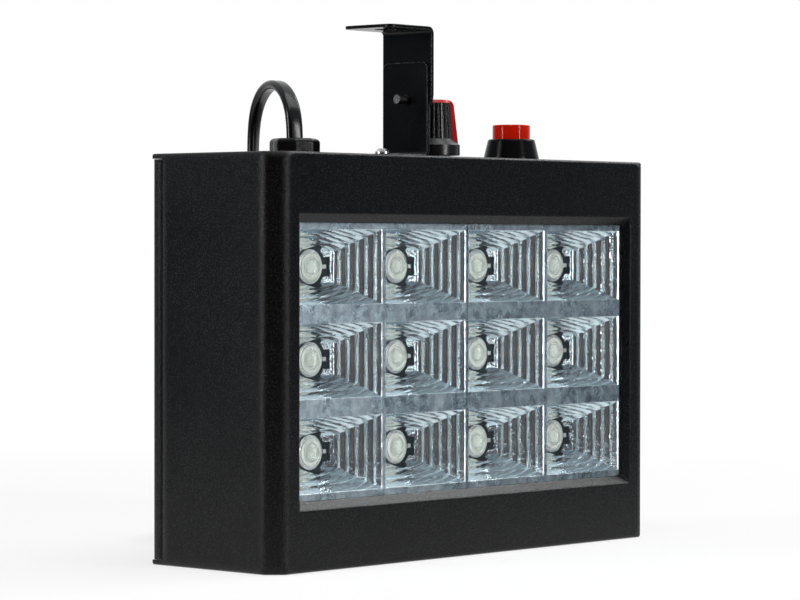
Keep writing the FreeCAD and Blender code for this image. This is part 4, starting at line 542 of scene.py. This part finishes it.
def flat_section(count=10):
    """The outline of the flat lead: two half rounds and a faint waist between its two cores."""
    half = LEAD_THICKNESS / 2
    reach = LEAD_WIDTH / 2 - half
    places = []
    for side in (1, -1):
        for step in range(count):
            angle = math.pi * step / (count - 1) - math.pi / 2
            places.append((side * (reach + half * math.cos(angle)), side * half * math.sin(angle)))
        places.append((0.0, side * half * LEAD_WAIST))
    return places


def build_lead():
    """The flat lead as one tube from the gland to the plug."""
    points = lead_line()
    gone = [0.0]
    for before, after in zip(points, points[1:]):
        gone.append(gone[-1] + (after - before).length)
    section = flat_section()
    vertices, faces = [], []
    for index, point in enumerate(points):
        before, after = points[max(index - 1, 0)], points[min(index + 1, len(points) - 1)]
        along = (after - before).normalized()
        wide = wide_way(point, along, gone[index], gone[-1])
        wide = (wide - along * wide.dot(along)).normalized()
        thin = along.cross(wide)
        for across, through in section:
            vertices.append(point + wide * across + thin * through)
    ring = len(section)
    for index in range(len(points) - 1):
        for step in range(ring):
            a, b = index * ring + step, index * ring + (step + 1) % ring
            faces.append((a, b, b + ring, a + ring))
    faces.append(tuple(reversed(range(ring))))
    faces.append(tuple(range(len(vertices) - ring, len(vertices))))
    mesh = bpy.data.meshes.new("flat_lead")
    mesh.from_pydata(vertices, [], faces)
    lead = bpy.data.objects.new("flat_lead", mesh)
    bpy.context.scene.collection.objects.link(lead)
    select_only(lead)
    bpy.ops.object.mode_set(mode="EDIT")
    bpy.ops.mesh.select_all(action="SELECT")
    bpy.ops.mesh.normals_make_consistent(inside=False)
    bpy.ops.object.mode_set(mode="OBJECT")
    bpy.ops.object.shade_smooth_by_angle(angle=math.radians(40))
    mesh.materials.append(FINISHES["lead_black"])
    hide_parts("mains_lead", "lead_coil", "lead_tail")
    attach(lead, "case")
    return lead, points


# Modelling by hand: measures are in millimetres

def select_only(piece):
    bpy.ops.object.select_all(action="DESELECT")
    piece.select_set(True)
    bpy.context.view_layer.objects.active = piece


def pick(piece, kind, choose):
    """Opens a piece in edit mode with the faces or edges selected that pass a test."""
    select_only(piece)
    bpy.ops.object.mode_set(mode="EDIT")
    bpy.ops.mesh.select_mode(type=kind)
    bpy.ops.mesh.select_all(action="DESELECT")
    bpy.ops.object.mode_set(mode="OBJECT")
    mesh = piece.data
    for item in mesh.polygons if kind == "FACE" else mesh.edges:
        item.select = choose(item, mesh)
    bpy.ops.object.mode_set(mode="EDIT")


def drum(name, radius, low, high, sides=48):
    """A cylinder along its own z, from one level to another."""
    bpy.ops.object.select_all(action="DESELECT")
    bpy.ops.mesh.primitive_cylinder_add(vertices=sides, radius=radius * MM, depth=(high - low) * MM,
                                        location=(0.0, 0.0, (low + high) / 2 * MM))
    piece = bpy.context.object
    piece.name = name
    bpy.ops.object.transform_apply(location=True, rotation=True, scale=True)
    return piece


def turn_top(piece, steps):
    """Works the top face of a piece inwards: each step is an inset and a rise."""
    top = max(face.center.z for face in piece.data.polygons)
    pick(piece, "FACE", lambda face, mesh: face.center.z > top - 0.01 * MM and face.normal.z > 0.9)
    for inset, rise in steps:
        if inset:
            bpy.ops.mesh.inset(thickness=inset * MM, depth=0.0)
        if rise:
            bpy.ops.mesh.extrude_region_move(TRANSFORM_OT_translate={"value": (0.0, 0.0, rise * MM)})
    bpy.ops.object.mode_set(mode="OBJECT")


def round_rims(piece, rims, width, segments):
    """Rounds the level rings of edges that lie at given radii and levels."""
    def on_rim(edge, mesh):
        ends = [mesh.vertices[index].co for index in edge.vertices]
        return any(all(abs(end.z - level * MM) < 0.02 * MM and abs(math.hypot(end.x, end.y) - radius * MM) < 0.05 * MM
                       for end in ends) for radius, level in rims)
    pick(piece, "EDGE", on_rim)
    bpy.ops.mesh.bevel(offset=width * MM, segments=segments, profile=0.5)
    bpy.ops.object.mode_set(mode="OBJECT")


def finish_piece(piece, slot, body, *nodes):
    """Gives a finished piece its smooth shading and its material, hides the nodes it stands in for and sets it on its
    body.
    """
    select_only(piece)
    bpy.ops.object.mode_set(mode="EDIT")
    bpy.ops.mesh.select_all(action="SELECT")
    bpy.ops.mesh.remove_doubles(threshold=0.001 * MM)
    bpy.ops.mesh.normals_make_consistent(inside=False)
    bpy.ops.object.mode_set(mode="OBJECT")
    bpy.ops.object.transform_apply(location=True, rotation=True, scale=True)
    bpy.ops.object.shade_smooth_by_angle(angle=math.radians(35))
    piece.data.materials.clear()
    piece.data.materials.append(FINISHES[slot])
    if nodes:
        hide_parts(*nodes)
    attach(piece, body)


EMITTER_PLACES = [(x, z) for x in (-55.8, -18.6, 18.6, 55.8) for z in (32.9, 60.0, 87.1)]
EMITTER_BACK = -8.3
COLLAR_RADIUS = 5.1
FACE_RADIUS = 4.1
DOME_RADIUS = 2.5
DOME_FOOT = 0.9
DOME_SPRING = 1.35

BUTTON_PLACE = (49.6, 2.5)
CAP_RADIUS = 6.0
CAP_FOOT = 117.0
CAP_SHOULDER = 131.2
CAP_RIM = 131.65
CAP_RIM_WIDTH = 0.9


def to_every_emitter(piece):
    """Turns a piece to face forwards, and sets a copy of it in every cell."""
    select_only(piece)
    piece.rotation_euler = (math.radians(90), 0.0, 0.0)
    bpy.ops.object.transform_apply(location=True, rotation=True, scale=True)
    copies = []
    for x, z in EMITTER_PLACES:
        select_only(piece)
        bpy.ops.object.duplicate(linked=False)
        bpy.ops.transform.translate(value=(x * MM, EMITTER_BACK * MM, z * MM))
        copies.append(bpy.context.object)
    bpy.ops.object.select_all(action="DESELECT")
    for copy in copies:
        copy.select_set(True)
    bpy.context.view_layer.objects.active = copies[0]
    bpy.ops.object.join()
    whole = bpy.context.object
    name = piece.name
    bpy.data.objects.remove(piece)
    whole.name = name
    bpy.ops.object.transform_apply(location=True, rotation=True, scale=True)
    return whole


def build_emitter_collars():
    """Plated collars with a raised lip."""
    collar = drum("emitter_collars", COLLAR_RADIUS, 0.0, 0.55)
    turn_top(collar, [(0.0, 0.3), (0.3, 0.0), (0.0, -0.3), (0.35, 0.0), (0.0, 0.25)])
    round_rims(collar, [(COLLAR_RADIUS, 0.85), (4.8, 0.85), (4.45, 0.8)], 0.07, 2)
    finish_piece(to_every_emitter(collar), "tinned_metal", "case")


def build_emitter_faces():
    """White faceted faces with a stepped seat and a small well in the middle."""
    face = drum("emitter_faces", FACE_RADIUS, 0.5, 1.25, 16)
    turn_top(face, [(0.75, 0.1), (0.28, -0.35), (0.32, 0.3), (0.25, -0.12), (0.45, 0.0), (0.25, -0.35), (0.5, 0.15)])
    select_only(face)
    bevel = face.modifiers.new("soft_edges", "BEVEL")
    bevel.width = 0.09 * MM
    bevel.segments = 2
    bevel.limit_method = "ANGLE"
    bevel.angle_limit = math.radians(28)
    bpy.ops.object.modifier_apply(modifier="soft_edges")
    finish_piece(to_every_emitter(face), "emitter_white", "case", "led_emitters")


def build_emitter_domes():
    """Clear half balls on a short foot."""
    bpy.ops.object.select_all(action="DESELECT")
    bpy.ops.mesh.primitive_uv_sphere_add(segments=40, ring_count=20, radius=DOME_RADIUS * MM)
    dome = bpy.context.object
    dome.name = "emitter_domes"
    bpy.ops.object.mode_set(mode="EDIT")
    bpy.ops.mesh.select_all(action="SELECT")
    bpy.ops.mesh.bisect(plane_co=(0.0, 0.0, 0.0), plane_no=(0.0, 0.0, 1.0), clear_inner=True, use_fill=True)
    bpy.ops.mesh.select_all(action="SELECT")
    bpy.ops.transform.translate(value=(0.0, 0.0, DOME_SPRING * MM))
    bpy.ops.object.mode_set(mode="OBJECT")
    lowest = min(face.center.z for face in dome.data.polygons)
    pick(dome, "FACE", lambda face, mesh: face.normal.z < -0.9 and face.center.z < lowest + 0.01 * MM)
    foot = (0.0, 0.0, (DOME_FOOT - DOME_SPRING) * MM)
    bpy.ops.mesh.extrude_region_move(TRANSFORM_OT_translate={"value": foot})
    bpy.ops.object.mode_set(mode="OBJECT")
    finish_piece(to_every_emitter(dome), "lens_clear", "case", "emitter_lenses")


def build_button_cap():
    """The cap of the push button: a drum with a fine raised rim and a slightly dished top."""
    cap = drum("push_cap", CAP_RADIUS, CAP_FOOT, CAP_SHOULDER, 72)
    dish = [(1.2, -0.1), (1.4, -0.07), (1.4, -0.03)]
    turn_top(cap, [(0.0, CAP_RIM - CAP_SHOULDER), (CAP_RIM_WIDTH, 0.0), (0.0, -0.2)] + dish)
    round_rims(cap, [(CAP_RADIUS, CAP_RIM)], 0.5, 5)
    round_rims(cap, [(CAP_RADIUS - CAP_RIM_WIDTH, CAP_RIM)], 0.12, 2)
    select_only(cap)
    bpy.ops.transform.translate(value=(BUTTON_PLACE[0] * MM, BUTTON_PLACE[1] * MM, 0.0))
    finish_piece(cap, "button_red", "button", "button_cap")


build_camera()
build_world()
build_floor()
build_lamps()
build_emitter_collars()
build_emitter_faces()
build_emitter_domes()
build_button_cap()
lead, lead_path = build_lead()
